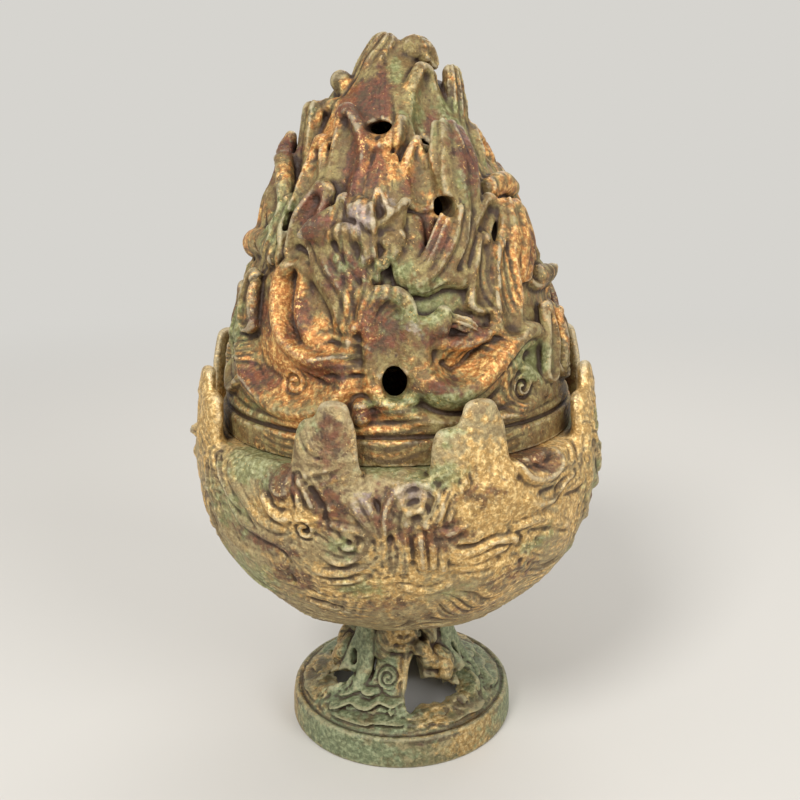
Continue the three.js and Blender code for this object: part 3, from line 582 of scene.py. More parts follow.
# Thick rims that stand round scooped folds: path of (azimuth, rise, lift), and half width
RIMS = [
    ([(-10, 32, 2.4), (-10, 42, 4.2), (-9, 50.5, 5.8), (-5, 54.5, 6.4), (1, 54, 6.4), (5, 50, 5.8), (5.5, 42, 4.2),
      (5.5, 33, 2.4)], 1.3),
    ([(-27, 107, 2.6), (-19, 100, 3.4), (-9, 96.5, 3.8), (0, 99, 3.4), (6, 105, 2.4)], 2.3),
    ([(-14, 35, 1), (-18, 33, 2.4), (-26, 32, 2.8), (-34, 35, 2.8), (-40, 40, 2.8), (-44, 48, 2.8), (-45, 57, 3),
      (-39, 62, 3), (-33, 59, 2)], 1.9),
    ([(-33, 59, 1.6), (-34, 52, 1.6), (-33, 44, 1.2), (-28, 38, 1), (-21, 36, 0.6)], 1.5),
    ([(-14, 35, 1), (-15, 43, 1.6), (-20, 51, 2.4), (-29, 59, 2.6)], 1.6),
    ([(-71, 36, 0.6), (-61, 28, 1.6), (-54, 21, 2), (-44, 17, 2), (-36, 15, 2), (-27, 15, 2), (-19, 19, 2),
      (-15, 24, 1.8), (-16, 31, 1)], 1.8),
    ([(6, 33, 0.5), (8, 28, 2.4), (12, 24, 3.6), (17, 22, 4), (23, 24, 4), (30, 29, 4.2), (36, 34, 4.4), (43, 38, 4.4),
      (50, 38, 3.4), (55, 34, 1.5)], 2.6),
    ([(8, 38, 1), (13, 38, 2), (20, 37, 2.4), (28, 38.5, 2.4), (35, 42, 2)], 1.8),
    ([(-5, 28, 0.6), (-5, 22, 0.8), (-1, 18, 0.8), (6, 14.5, 0.8), (14, 12.5, 0.8), (24, 12, 0.8), (36, 12.5, 0.8),
      (50, 15, 0.5)], 1.6),
    ([(31, 18, 0.5), (37, 26, 1.4), (41, 28, 1.6), (48, 22, 1.4), (56, 15, 0.5)], 1.6),
    ([(-6, 31, 0.6), (-7, 26, 1), (-4, 20, 1), (1, 19, 1), (5, 22, 1), (6, 28, 0.8)], 1.4),
]
# The beasts of the front, in the same way as the flames: first the winged one in the middle, then the small ones
BEASTS = [
    ([(-1, 67, 3), (-6, 73, 5.5), (-13, 75, 6.5)], [6, 8, 7], [3.4, 4.6, 4.4], 3, 0),
    ([(-14, 80, 5.5), (-9, 77.5, 7), (-6, 80, 7)], [2.6, 2.8, 2.2], [2.4, 2.6, 2], 0, 0),
    ([(-3, 74, 6), (-5, 79, 7.4), (-6, 84, 8)], [3.2, 3, 1.2], [2.4, 2.2, 1], 0, 1.2),
    ([(-22, 74, 5.5), (-28, 72, 7.5), (-33, 70.5, 8)], [5.4, 4, 1.4], [3.6, 3, 1.4], 0, 0),
    ([(-12, 72, 6.5), (-17, 76, 7.6), (-20, 82, 7)], [4.2, 4, 2], [2.8, 2.6, 1.2], 0, 1.2),
    ([(-13, 71, 6.5), (-19, 71.5, 8), (-22, 70, 7.5)], [3, 3, 1.6], [2.6, 2.6, 1.6], 0, 0),
    ([(-4, 71, 6), (2, 75, 6.5), (5, 80, 5.5)], [4, 4.2, 2.2], [2.6, 2.8, 1.6], 0, 1.3),
    ([(-9, 69, 6.6), (-8, 65, 6), (-11, 62, 4.5)], [2.2, 2.4, 1.6], [2, 2, 1.6], 0, 0),
    ([(-17, 69, 5), (-14, 62.5, 3.4), (-9, 57, 2.4)], [4.4, 4.8, 4], [3.2, 3.2, 2.6], 2, 0),
    ([(-2, 69, 5), (0, 65.5, 4.4), (-5, 61.5, 3.4)], [2.2, 2.4, 2], [2.2, 2.4, 2], 0, 0),
    ([(-24, 69, 5.5), (-24, 63, 3.5)], [2.8, 2.4], [2.4, 2], 0, 0),
    ([(9, 41.5, 1), (13, 43.5, 3), (15, 47, 3.4)], [4, 4.2, 2.6], [3, 3.4, 2.4], 0, 0),
    ([(18, 44.5, 1.6), (22, 43, 2.6), (26, 40.5, 2)], [2.4, 3, 1.6], [2, 2.2, 1.4], 3, 0),
    ([(18.5, 57, 1.5), (23, 56, 1.5)], [3, 2.8], [2.8, 2.6], 0, 0),
    ([(-10, 15.5, 0.4), (-10, 18.5, 0.4)], [3, 3], [3, 3], 0, 0),
]
# Flames of the flanks, which stand once each
SIDE_FLAMES = [
    ([(52, 83, 1), (62, 85, 3), (72, 83, 3)], [3.8, 3.8, 3.2], [3.6, 3.6, 3], 0, 0),
    ([(68, 53, 0.5), (77, 53.5, 3), (83, 55, 6)], [4.4, 3.6, 1.4], [3.6, 3, 1.2], 0, 0),
    ([(74, 20, 0.5), (77, 30, 2), (76, 40, 2.5)], [6, 6.4, 3.4], [3.4, 3.4, 2.4], 0, 1.6),
    ([(-60, 76, 1), (-68, 86, 3.6), (-78, 94, 5.4), (-82, 101, 7)], [8, 8.4, 6.6, 2.6], [4.6, 4.8, 4.4, 2.2], 0, 2.4),
    ([(-56, 64, 0), (-64, 66, 0.5), (-73, 66, 1), (-80, 65, 1.5)], [5.4, 4.6, 4.8, 5.2], [4.4, 4.2, 4.6, 5.2], 0, 0),
    ([(-76, 70, 0.5), (-80, 80, 2.5), (-88, 88, 3)], [7, 6.5, 3.4], [3.6, 3.6, 2.6], 3, 0),
    ([(-76, 34, -0.5), (-77, 46, -1.5), (-74, 57, -1)], [7, 7, 3.4], [3.6, 3.6, 2.4], 3, 0),
    ([(74, 60, -1), (77, 72, -1), (80, 82, -0.5)], [7, 7.4, 5], [3.8, 4, 3], 4, 0),
    ([(-112, 56, 0), (-113, 70, 2), (-116, 81, 3)], [8, 8.5, 5], [4, 4, 3], 4, 0),
    ([(106, 64, 0), (107, 78, 1.8), (110, 89, 3)], [8, 8.5, 5], [4, 4, 3], 4, 0),
    ([(98, 26, 0), (99, 40, 1.6), (104, 51, 2.5)], [8, 8, 3.4], [3.6, 3.8, 2.4], 0, 1.8),
    ([(-98, 26, 0), (-99, 38, 1.6), (-95, 48, 2.5)], [8, 8, 3.4], [3.6, 3.8, 2.4], 0, 1.8),
    ([(88, 50, -1.5), (90, 63, -2), (94, 74, -1.5)], [7, 7, 3.4], [3.4, 3.6, 2.4], 0, 1.5),
    ([(-93, 52, -1.5), (-95, 64, -2), (-91, 74, -1.5)], [7, 7, 3.4], [3.4, 3.6, 2.4], 0, 1.5),
    ([(120, 34, 0), (121, 46, 1.8), (118, 57, 2.5)], [7, 6.6, 3], [3.4, 3.6, 2.4], 3, 0),
    ([(-122, 32, 0), (-124, 44, 1.8), (-128, 55, 2.5)], [7, 6.6, 3], [3.4, 3.6, 2.4], 3, 0),
    ([(90, 82, -2), (94, 92, -2), (92, 101, -1.5)], [6, 6, 3.4], [3.4, 3.4, 2.4], 3, 0),
    ([(-98, 84, -2), (-102, 94, -2), (-100, 102, -1.5)], [6, 6, 3.4], [3.4, 3.4, 2.4], 3, 0),
]
# The flames of the summit: path of (right, behind, rise), and the same as above
SUMMIT = [
    ([(-7, -6, 100), (-8, -5, 112), (-7, -3, 122), (-2.5, -2, 131)], [9.4, 9.8, 9, 6.5], [7, 7, 6, 4.4], 5, 0),
    ([(2, -3, 124), (6.5, -3.5, 129), (11, -3.5, 128.5), (14.5, -3.5, 124.5)], [5, 4.8, 4.8, 2.2],
     [4.6, 4.4, 4, 2], 2, 0),
    ([(9, -21, 97), (9.5, -18, 106), (10, -14, 115), (11, -11, 121)], [7, 7.6, 7.4, 5], [3.4, 3.6, 3.4, 3], 0, 2.2),
    ([(22, -10, 94), (22, -8, 104), (21.5, -6, 113), (20.5, -4, 121)], [5.6, 5.6, 5.6, 4.6], [5, 4.4, 4, 3.4], 5, 0),
    ([(-12, -8, 109), (-15.5, -7, 115), (-17.5, -6, 119)], [3.4, 3, 3.8], [3.4, 3, 3.8], 0, 0),
    ([(-29, -12, 84), (-29, -11, 96), (-27, -9.5, 109)], [6, 5.6, 4.8], [5, 4.4, 4], 3, 0),
    ([(-20, -18, 92), (-19, -15, 101), (-18, -12.5, 107)], [4.4, 4.4, 3.4], [3.6, 3.4, 3], 2, 0),
    ([(-6, -15, 109), (-14, -13, 110), (-22, -9.5, 110.5)], [3.4, 3.2, 3], [3.4, 3, 2.8], 0, 0),
    ([(28, -8, 84), (27, -6, 94), (25, -4, 102)], [6, 5.6, 3.6], [4.4, 4, 3], 3, 0),
    ([(-2, 22, 92), (-2, 17, 106), (-1, 11, 118)], [10, 9, 4.6], [5, 5, 3.4], 5, 0),
    ([(18, 15, 92), (15.5, 12, 104), (13, 9, 114)], [8, 7, 4], [4.6, 4.6, 3.4], 5, 0),
    ([(-21, 16, 90), (-18, 13, 103), (-16, 9, 112)], [8, 7, 4], [4.6, 4.6, 3.4], 0, 2.2),
    ([(2, 2, 112), (3, 3, 120), (2, 3, 126)], [9, 7, 4], [8, 6, 4], 3, 0),
]
# Smoke vents of one face: azimuth, rise, half width and half height
VENTS = [(-0.5, 26.2, 4.0, 5.0), (-9, 103, 4.2, 2.1), (21, 78.5, 2.8, 3.2)]
# Centres that the fine folds wind round: azimuth, rise, reach and height of the field
LID_EDDIES = [
    (-36, 28, 14, 12), (26, 33, 13, -12), (42, 20, 7, 9), (55, 17, 5, 7), (-62, 38, 10, 9), (72, 30, 10, 9),
    (98, 32, 13, 12), (-102, 30, 13, 12), (7, 87, 6, 8), (-50, 88, 6, 8), (8, 62, 8, 9), (-3, 44, 7, 8),
    (60, 66, 10, 8), (-78, 66, 9, 9), (120, 52, 10, 9), (-124, 50, 10, 9), (102, 84, 9, 8), (-100, 84, 9, 8),
]
# Overlapping leaves of the flanks: azimuth off the flank's middle, rise, half width in degrees, and height
FLANK_LEAVES = [
    (0, 104, 26, 15), (-13, 90, 17, 15), (12, 88, 17, 15), (-1, 75, 14, 16), (25, 72, 13, 15), (-16, 62, 12, 15),
    (11, 58, 12, 16), (-3, 44, 11, 16), (20, 40, 11, 16), (-15, 28, 10, 16), (8, 25, 10, 16),
]
# Dark slits between the flames and dents in two of them: path of (azimuth, rise, lift), and half width
SLITS = [
    ([(-3, 34, 5), (-2.5, 41, 6.6), (-2.5, 47.5, 7.4)], 5.0), ([(-23, 88, 6.2), (-25, 97, 7.6)], 4.4),
    ([(5, 73, 6.5), (7, 79, 6.5)], 2.6), ([(-66, 66, 2), (-64, 59, 1.5)], 1.3), ([(21, 47, 1.5), (25, 45, 1.5)], 1.4),
    ([(18, 86, 1), (20, 94, 1.5)], 0.9), ([(-39, 66, 2.5), (-32, 64, 2.5)], 1.5),
    ([(-50, 66, 1), (-49, 76, 1.5)], 1.2), ([(49, 44, 1), (52, 52, 1.5)], 1.2), ([(68, 64, 1), (66, 74, 1.5)], 1.2),
]
# How far rims sink into the slope and blend with it, and how deep slits are
RIM_SINK = 0.8
RIM_BLEND = 4.0
SLIT_DEPTH = 2.2
# The turns of the mountain's two faces
FACE_TURNS = (0, 180)
# Where the flanks' middles are, and the centres of their whirls
FLANKS = (90, -94)
FLANK_WHIRLS = [(72, 30), (104, 30), (-104, 30), (-74, 28), (98, 78), (-98, 76), (128, 42), (-130, 40)]
# Levels between which the wrinkles turn from level to upright, and from the slope's width to the summit's
LEVEL_WRINKLES = (34, 50)
SLOPE_WRINKLES = (80, 92)
WRINKLE_PITCH = 2.4
# How far under the top the lid's hollow ends, and how much steeper it is than the outside
CAVITY_END = 16.0
CAVITY_STEEPER = 7.0
# The lid's sculpting grid: half its width, and its room under and over the lid
LID_REACH = 72.0
LID_ROOM = (2.0, 5.0)


def carve_mountain(relief, turn):
    """The scoops, folds and whirls of one face of the mountain."""

    def at(*points):
        return turned(points, turn)

    relief.lip(at((-24, 107), (-17, 100), (-9, 97), (0, 100), (4, 105)), height=2.0, inside=8, scoop=1.2)
    relief.lip(
        at((-71, 36), (-61, 28), (-54, 21), (-44, 17), (-36, 15), (-27, 15), (-19, 19), (-15, 24), (-16, 31)),
        height=2.0, inside=17, scoop=1.8, lines=0.3, pitch=3.0,
    )
    relief.lip(
        at((-14, 35), (-18, 33), (-26, 32), (-34, 35), (-40, 40), (-44, 48), (-45, 57), (-39, 62), (-33, 59)),
        height=2.4, inside=9, side=-1, scoop=2.2,
    )
    relief.lip(
        at((6, 33), (8, 28), (12, 24), (17, 22), (23, 24), (30, 29), (36, 34), (43, 38), (50, 38)),
        height=3.6, inside=12, crest=3, scoop=2.0, lines=0.7, pitch=2.8,
    )
    relief.lip(at((6, 33), (8, 26), (14, 20), (22, 20), (30, 25), (38, 31), (46, 35), (54, 33)), height=2.4, inside=8,
               side=-1, scoop=1.4)
    relief.lip(at((-5, 28), (-5, 22), (-1, 18), (6, 14.5), (14, 12.5), (24, 12), (36, 12.5), (50, 15)), height=1.4,
               inside=5, scoop=0.5)
    relief.whirl(42 + turn, 20.5, radius=5.5, height=1.0, pitch=2.9)
    relief.whirl(53 + turn, 17, radius=4, height=0.9, pitch=2.8, hand=-1)
    relief.whirl(7 + turn, 87, radius=5.5, height=1.2, pitch=3.2)
    relief.whirl(-50 + turn, 88, radius=5, height=1.0, pitch=3.4)
    relief.whirl(-34 + turn, 24, radius=6, height=0.6, pitch=3.2)
    relief.lip(at((4, 72), (4, 62), (8, 55), (15, 58), (22, 68), (26, 78)), height=2.6, inside=7, scoop=1.5)
    relief.lip(at((-22, 62), (-17, 56), (-9, 54), (-5, 57), (-4, 62)), height=2.2, inside=6, scoop=1.2)
    relief.lip(at((-50, 76), (-44, 70), (-36, 69), (-31, 74)), height=2.4, inside=7, scoop=1.2)
    relief.lip(at((-34, 92), (-30, 85), (-22, 82), (-14, 85), (-10, 92)), height=2.2, inside=7, scoop=1.2)
    relief.lip(at((36, 66), (40, 57), (47, 53), (54, 56)), height=2.2, inside=7, scoop=1.2)
    relief.lip(at((52, 60), (57, 52), (65, 50), (72, 55), (74, 62)), height=2.6, inside=8, scoop=1.2)
    relief.lip(at((-88, 60), (-82, 52), (-72, 50), (-66, 55)), height=2.4, inside=8, scoop=1.2)


def carve_flanks(relief):
    """The pockets and folds between the two faces."""
    relief.lip([(84, 40), (86, 27), (94, 17), (106, 14), (118, 20), (122, 29)], height=2.8, inside=13, lines=0.6,
               pitch=3.0, scoop=1.8)
    relief.lip([(-118, 32), (-116, 21), (-106, 14), (-94, 16), (-86, 24), (-84, 35)], height=2.8, inside=13,
               lines=0.6, pitch=3.0, scoop=1.8)
    relief.lip([(62, 26), (68, 19), (76, 17), (82, 21), (83, 28)], height=2.2, inside=7)
    relief.lip([(-84, 24), (-80, 17), (-72, 14), (-64, 17), (-61, 24)], height=2.2, inside=7)
    relief.lip([(92, 62), (94, 52), (102, 48), (110, 52), (112, 60)], height=2.6, inside=9, scoop=1.5)
    relief.lip([(-112, 56), (-108, 47), (-100, 45), (-93, 50)], height=2.6, inside=8, scoop=1.5)
    for azimuth, rise in FLANK_WHIRLS:
        relief.whirl(azimuth, rise, radius=5, height=0.8, pitch=3.2)
    relief.mound(84, 94, 13, 9, -2.2)
    for azimuth in FLANKS:
        for offset, rise, wide, tall in FLANK_LEAVES:
            middle = azimuth + offset
            arch = [(middle - wide, rise), (middle - wide * 0.8, rise + tall * 0.6), (middle, rise + tall),
                    (middle + wide * 0.8, rise + tall * 0.6), (middle + wide, rise)]
            relief.lip(arch, height=2.3, inside=10, side=-1, crest=1.9, scoop=2.2, lines=0.5, pitch=2.7)
            relief.ridge([(middle, rise - 2), (middle + 1, rise + tall * 0.6)], height=1.4, width=1.8)


def waves(relief, seed, bend, turns, rise):
    """A field in millimetres that wanders gently, to bend the lines of a flow."""
    draw = np.random.default_rng(seed)
    azimuth = np.radians(relief.azimuths)[:, None]
    level = (relief.levels * np.broadcast_to(relief.up, relief.levels.shape))[None, :]
    field = np.zeros((len(relief.azimuths), len(relief.levels)))
    for _ in range(16):
        tilt = draw.uniform(-1, 1) * rise
        wave = draw.integers(turns // 3, turns) * azimuth + tilt * level + draw.uniform(0, 2 * math.pi)
        field += bend * draw.uniform(0.3, 1) * np.sin(wave)
    return field


def eddies(relief, centres, turns):
    """A field in millimetres that rises round centres, so that the lines of a flow close round them.

    A centre is its azimuth, its level, how far it reaches and how high it rises."""
    field = np.zeros((len(relief.azimuths), len(relief.levels)))
    for azimuth, level, reach, height in centres:
        for turn in turns:
            off = (relief.azimuths - azimuth - turn + 180) % 360 - 180
            x = off[:, None] * relief.across[None, :]
            y = ((relief.levels - level) * np.broadcast_to(relief.up, relief.levels.shape))[None, :]
            field += height * np.exp(-(x * x + y * y) / (reach * reach))
    return field


def fade_over_band(levels):
    """0 on the lid's plain band, and 1 above it."""
    return smooth_step(LID_BAND_HEIGHT - 0.5, LID_BAND_HEIGHT + 2, levels)


def lid_relief(step):
    """The carved slopes of the mountain, and the moulding over its plain band."""
    relief = Relief(0, LID_HEIGHT, step / 2, mountain_radius, lambda rise: 1.0 + 0.3 * rise / LID_HEIGHT,
                    lambda reach, z: z - LID_Z)
    for turn in FACE_TURNS:
        carve_mountain(relief, turn)
    carve_flanks(relief)
    relief.height *= fade_over_band(relief.levels)[None, :]
    relief.ridge([(azimuth, LID_BAND_HEIGHT + 2.5) for azimuth in range(-180, 181, 4)], height=0.9, width=1.3)
    return relief


def lid_wrinkles(step):
    """Fine folds over everything on the mountain: level ones low down, and upright ones further up."""
    relief = Relief(0, LID_HEIGHT + 3, step / 2, lambda rise: mountain_radius(rise) + 2, lambda rise: 1.0 + 0 * rise,
                    lambda reach, z: z - LID_Z)
    azimuth, level = np.radians(relief.azimuths)[:, None], relief.levels[None, :]
    field = waves(relief, 5, 0.8, 14, 0.16) + eddies(relief, LID_EDDIES, FACE_TURNS)
    low, mid = 1 - smooth_step(*LEVEL_WRINKLES, level), 1 - smooth_step(*SLOPE_WRINKLES, level)
    patchy = smooth_step(-0.4, 1.4, waves(relief, 6, 0.7, 12, 0.2))
    relief.flow(field + level, 0.26, WRINKLE_PITCH, low * patchy)
    relief.flow(field + azimuth * 54, 0.22, WRINKLE_PITCH, (1 - low) * mid * patchy)
    relief.flow(field + azimuth * 32, 0.24, WRINKLE_PITCH, (1 - mid) * patchy)
    relief.height *= fade_over_band(level)
    return relief


def mountain(voxel):
    """The lid's solid: a hollow mountain with flames swept over carved slopes."""
    step = grid_step(voxel)
    under, over = LID_ROOM
    solid = Solid((-LID_REACH, -LID_REACH, LID_Z - under), (LID_REACH, LID_REACH, LID_Z + LID_HEIGHT + over), step)
    rises = np.linspace(LID_BAND_HEIGHT, LID_HEIGHT, 48)
    outer = [(0, LID_Z), (LID_RADIUS, LID_Z), (LID_RADIUS, LID_Z + LID_BAND_HEIGHT - 1),
             (LID_RADIUS - 0.5, LID_Z + LID_BAND_HEIGHT)]
    outer += [(float(mountain_radius(rise)), LID_Z + rise) for rise in rises]
    solid.values[:] = solid.revolve(outer, lid_relief(step))
    for turn in FACE_TURNS:
        for path, wide in RIMS:
            places = [on_slope(azimuth, rise, lift - RIM_SINK) for azimuth, rise, lift in turned(path, turn)]
            taper = [wide * 0.6, *[wide] * (len(path) - 2), wide * 0.7]
            solid.sweep(places, taper, taper, blend=RIM_BLEND)
        for path, *form in FLAMES:
            solid.flame([on_slope(*place) for place in turned(path, turn)], *form)
    for path, *form in SIDE_FLAMES + BEASTS:
        solid.flame([on_slope(*place) for place in path], *form)
    for path, *form in SUMMIT:
        solid.flame([near_summit(*place) for place in path], *form)
    wrinkles = lid_wrinkles(step)
    solid.emboss(wrinkles, mountain_radius(solid.z - LID_Z) - 3)
    for turn in FACE_TURNS:
        for path, wide in SLITS:
            places = [on_slope(*place) for place in turned(path, turn)]
            solid.sweep(places, [wide * 0.7, *[wide] * (len(path) - 2), wide * 0.6], SLIT_DEPTH, cutting=True)
    rises = np.linspace(0, LID_HEIGHT - CAVITY_END, 40)
    inner = [(0, LID_Z - 4), (LID_BORE, LID_Z - 4)]
    inner += [
        (max(0.0, float(mountain_radius(rise + CAVITY_STEEPER * rise / rises[-1])) - LID_WALL), LID_Z + rise)
        for rise in rises
    ]
    inner[-1] = (0, inner[-1][1])
    solid.join((slice(None),) * 3, solid.revolve(inner), 0.5, cutting=True)
    for turn in FACE_TURNS:
        for azimuth, rise, wide, tall in VENTS:
            solid.sweep([around(azimuth + turn, radius, LID_Z + rise) for radius in (2, 40, LID_RADIUS + 6)],
                        wide, tall, cutting=True, blend=1.0)
    return solid, wrinkles


# The bowl

# Peaks of the crown: azimuth, rise over the ledge, half width, and the smaller lobe's offset and rise
CROWN = [
    (-16, 22.5, 8.2, -7, 16), (21.5, 22, 9, -9, 13.5), (71, 24, 9, -8, 15), (106, 30, 10, 8, 20),
    (144, 22, 9, -8, 14), (180, 24, 9, 8, 16), (216, 22, 9, 8, 14), (-106, 30, 10, -8, 20), (-71, 24, 10, 8, 16),
]
CROWN_THICK = 3.0
CROWN_LEAN = 2.2
LOBE_SHARE = 0.62
BOWL_TURNS = (0, 119, 231)
# Centres that the fine folds wind round: azimuth, angle from the widest ring, reach and height of the field
BOWL_EDDIES = [
    (-29, 4, 13, 17), (-12, -7, 12, 16), (4, 2, 9, 13), (24, 4, 16, -15), (40, 9, 11, 15), (38, -8, 9, 11),
    (-47, -3, 12, -11), (16, -13, 10, 13), (-34, -19, 13, 13), (52, -14, 12, 12), (4, -24, 12, -12),
    (-22, -31, 12, 12), (28, -29, 13, 13), (-50, 18, 10, 10), (60, 14, 10, -11), (-16, 19, 8, 11), (22, 19, 8, 10),
    (-54, -34, 12, 12), (-4, -42, 14, 12), (40, -46, 14, -12),
]
# How far fine folds run beside the main ones, and how high and wide these are drawn
BESIDE_FOLDS = 7.0
FOLD_RISE = 0.8
FOLD_SPREAD = 1.25
# Height in millimetres of a degree on the bowl's chart, and the angles from the widest ring that it spans
DEGREE_RISE = 1.28
BOWL_CHART = (-74, 44)
# Angles over which the relief comes in above the seat, and over which it grows shallow towards the crown
SEAT_FADE = (-66, -54)
CROWN_FADE = (8, 15)
# The relief's depth in the bowl's wall, and the room round the bowl and over its ledge in the sculpting grid
BOWL_SKIN = 2.6
BOWL_ROOM = 4
CROWN_ROOM = 34


def crown_peak(solid, azimuth, rise, wide):
    """One thick peak that stands on the bowl's ledge and leans in a little."""
    radius = BOWL_RADIUS - CROWN_THICK
    stations = [(-14, 0.5), (0, 0), (rise * 0.5, CROWN_LEAN / 2), (rise * 0.8, CROWN_LEAN * 0.8),
                (rise - 2.2, CROWN_LEAN)]
    path = [around(azimuth, radius - inset, LEDGE_Z + height) for height, inset in stations]
    widths = [wide * share for share in (1.75, 1.2, 1.0, 0.9, 0.58)]
    solid.sweep(path, widths, [CROWN_THICK * share for share in (0.8, 1, 1, 0.95, 0.8)], blend=4.0)


def reach_at_angle(angle):
    """The bowl's radius where a ray at this angle from the centre of its widest ring meets it."""
    c, s = np.cos(np.radians(angle)), np.sin(np.radians(angle))
    down = (c / BOWL_RADIUS) ** BOWL_ROUNDNESS + (np.maximum(-s, 0) / BOWL_DEPTH) ** BOWL_ROUNDNESS
    return c * down ** (-1 / BOWL_ROUNDNESS)


# Folds of one side of the bowl: path of azimuth and angle from the widest ring, height and width
BOWL_FOLDS = [
    ([(-56, 8), (-50, 2), (-47, -4), (-44, -7), (-37, -8), (-29, -9), (-26, -11), (-25, -13)], 1.7, 2.0),
    ([(-60, 5), (-57, -4), (-54, -12), (-47, -16), (-39, -17)], 1.5, 2.0),
    ([(-50, 8), (-44, 2), (-39, -3), (-33, -5), (-27, -5)], 1.6, 1.7),
    ([(-41, -3.5), (-36, -6.5), (-30, -7.5), (-27, -7.5)], 1.2, 1.3),
    ([(-24, 6), (-23.5, 2), (-24, 0), (-26, -3)], 1.8, 1.5),
    ([(-24, 9), (-22, 6), (-20, 1)], 1.4, 1.4),
    ([(-16, -2), (-12, -3), (-8, -4), (-7.5, -8), (-11, -11), (-15, -12), (-19, -10)], 1.7, 1.8),
    ([(-13, -4), (-11, -5), (-11, -7.5), (-13, -8)], 1.2, 1.4),
    ([(-24, -15), (-19, -16), (-13, -15), (-8, -13), (-4, -9)], 1.5, 1.6),
    ([(-24, -18), (-19, -19), (-12, -17.5), (-7, -16)], 1.3, 1.5),
    ([(-25, -23), (-18, -24), (-11, -23), (-4, -21)], 1.0, 1.5),
    ([(-34, -29), (-21, -30), (-8, -31)], 0.9, 1.5),
    ([(-12, 5), (-9, 1), (-7, -2), (-6, -6)], 1.6, 1.6),
    ([(-8, 6), (-5, -1), (-4, -6), (-4, -13)], 1.7, 1.6),
    ([(0, -3), (1.5, -9), (1, -16)], 1.3, 1.3),
    ([(5, -4), (5.5, -9), (6, -14)], 1.8, 1.4),
    ([(8, -7), (8.5, -14)], 1.2, 1.1),
    ([(10.5, -9), (11, -15)], 1.2, 1.2),
    ([(10, -4), (13, -4), (15, -3), (18, -2)], 1.3, 1.4),
    ([(16, -6), (18, -7), (20, -6), (22, -5)], 1.2, 1.2),
    ([(11, -7), (15, -10), (20, -9.5), (24, -8.5), (30, -9), (32, -11)], 1.7, 1.5),
    ([(12, -10), (16, -12.3), (20, -12.3), (25, -11.4), (28, -11.6)], 1.5, 1.4),
    ([(14, -14), (20, -14.8), (26, -14.4)], 1.3, 1.3),
    ([(19, -17), (24, -18), (29, -17), (34, -17)], 1.1, 1.5),
    ([(0, -19), (4, -21), (8, -21.5), (12, -19.5), (15, -17)], 1.5, 1.6),
    ([(24, 12), (24, 5), (25.5, 0), (28, -4)], 1.3, 1.6),
    ([(22, 5), (20, 3), (17, 1), (15, -1.5)], 1.3, 1.5),
    ([(16, 8), (13, 3), (12, -1)], 1.2, 1.5),
    ([(31, 1.5), (36, -0.5), (40, -1.5), (44, -1.5)], 1.6, 1.6),
    ([(30, -6), (33, -5.5), (38, -5.5), (44, -7.5), (52, -12)], 1.6, 1.6),
    ([(39, -11), (46, -13), (53, -14)], 1.2, 1.5),
    ([(45, 0), (47, 2), (53, 3)], 1.5, 1.5),
    ([(24, 17), (27, 12), (30, 7)], 1.2, 1.6),
    ([(-62, -8), (-60, -18), (-52, -26), (-40, -30)], 0.9, 1.6),
    ([(40, -22), (48, -24), (56, -22)], 0.9, 1.6),
]
# Dark narrow grooves between them
BOWL_GROOVES = [
    ([(-21.5, 8), (-19.5, 5), (-17.5, 1), (-18, -2)], 2.0, 1.5), ([(-55, 4), (-49, -2), (-44, -5.5)], 1.5, 1.2),
    ([(-47, -9), (-38, -11), (-31, -11.5), (-28, -15)], 1.5, 1.3), ([(33, -9), (32, -12)], 1.8, 1.3),
    ([(-30, -19), (-30, -23)], 1.5, 1.2), ([(-6, 5), (-2, -1), (-2, -7)], 1.5, 1.2),
    ([(13, -8), (19, -8.3), (26, -6.6)], 1.1, 1.2), ([(46, 5), (49, 8)], 1.6, 1.3),
    ([(3, -4), (3.5, -13)], 1.3, 1.1), ([(36, 2), (44, 1.5)], 1.1, 1.3), ([(34, -8), (42, -9.5)], 1.0, 1.4),
]


def carve_bowl_side(relief, turn, hood):
    """Swirls, folds and a hooded arch, in azimuth and angle from the widest ring."""

    def at(*points):
        return turned(points, turn)

    relief.mound(-29 + turn, 6, 9, 6.5, 2.8)
    relief.mound(24 + turn, 5, 11, 11, 2.0)
    relief.mound(-12 + turn, -7, 9, 8, 1.0)
    relief.lip(at((-36, 4), (-33, -1), (-28, -2.5), (-25, -1)), height=1.8, inside=5, scoop=0.3)
    for points, height, width in BOWL_FOLDS:
        relief.ridge(at(*points), height * FOLD_RISE, width * FOLD_SPREAD)
    for points, depth, width in BOWL_GROOVES:
        relief.ridge(at(*points), -depth * FOLD_RISE, width)
    relief.whirl(-23 + turn, -4, radius=4.6, height=1.0, pitch=2.8)
    relief.mound(-23 + turn, -4, 1.6, 1.6, -1.2)
    relief.mound(-11.5 + turn, -6.2, 1.6, 1.6, -1.6)
    relief.lip(at((-3, -6), (-4, 0), (-2, 6), (3, 9.5 + hood), (8, 8 + hood), (11, 3), (9, -3)), height=1.8,
               inside=6, side=-1)
    relief.ridge(at((-1, -4), (-1, 1), (1.5, 5), (5, 6), (8, 3.5), (8, -1)), height=1.1, width=1.5)
    relief.ridge(at((2, -3), (2, 1), (4.5, 2.8), (6.5, 0.5), (6, -3)), height=1.1, width=1.5)
    relief.lip(at((29, 13), (32, 7), (36, 5), (42, 4.5), (47, 7), (50, 12)), height=2.6, inside=7, scoop=1.4)


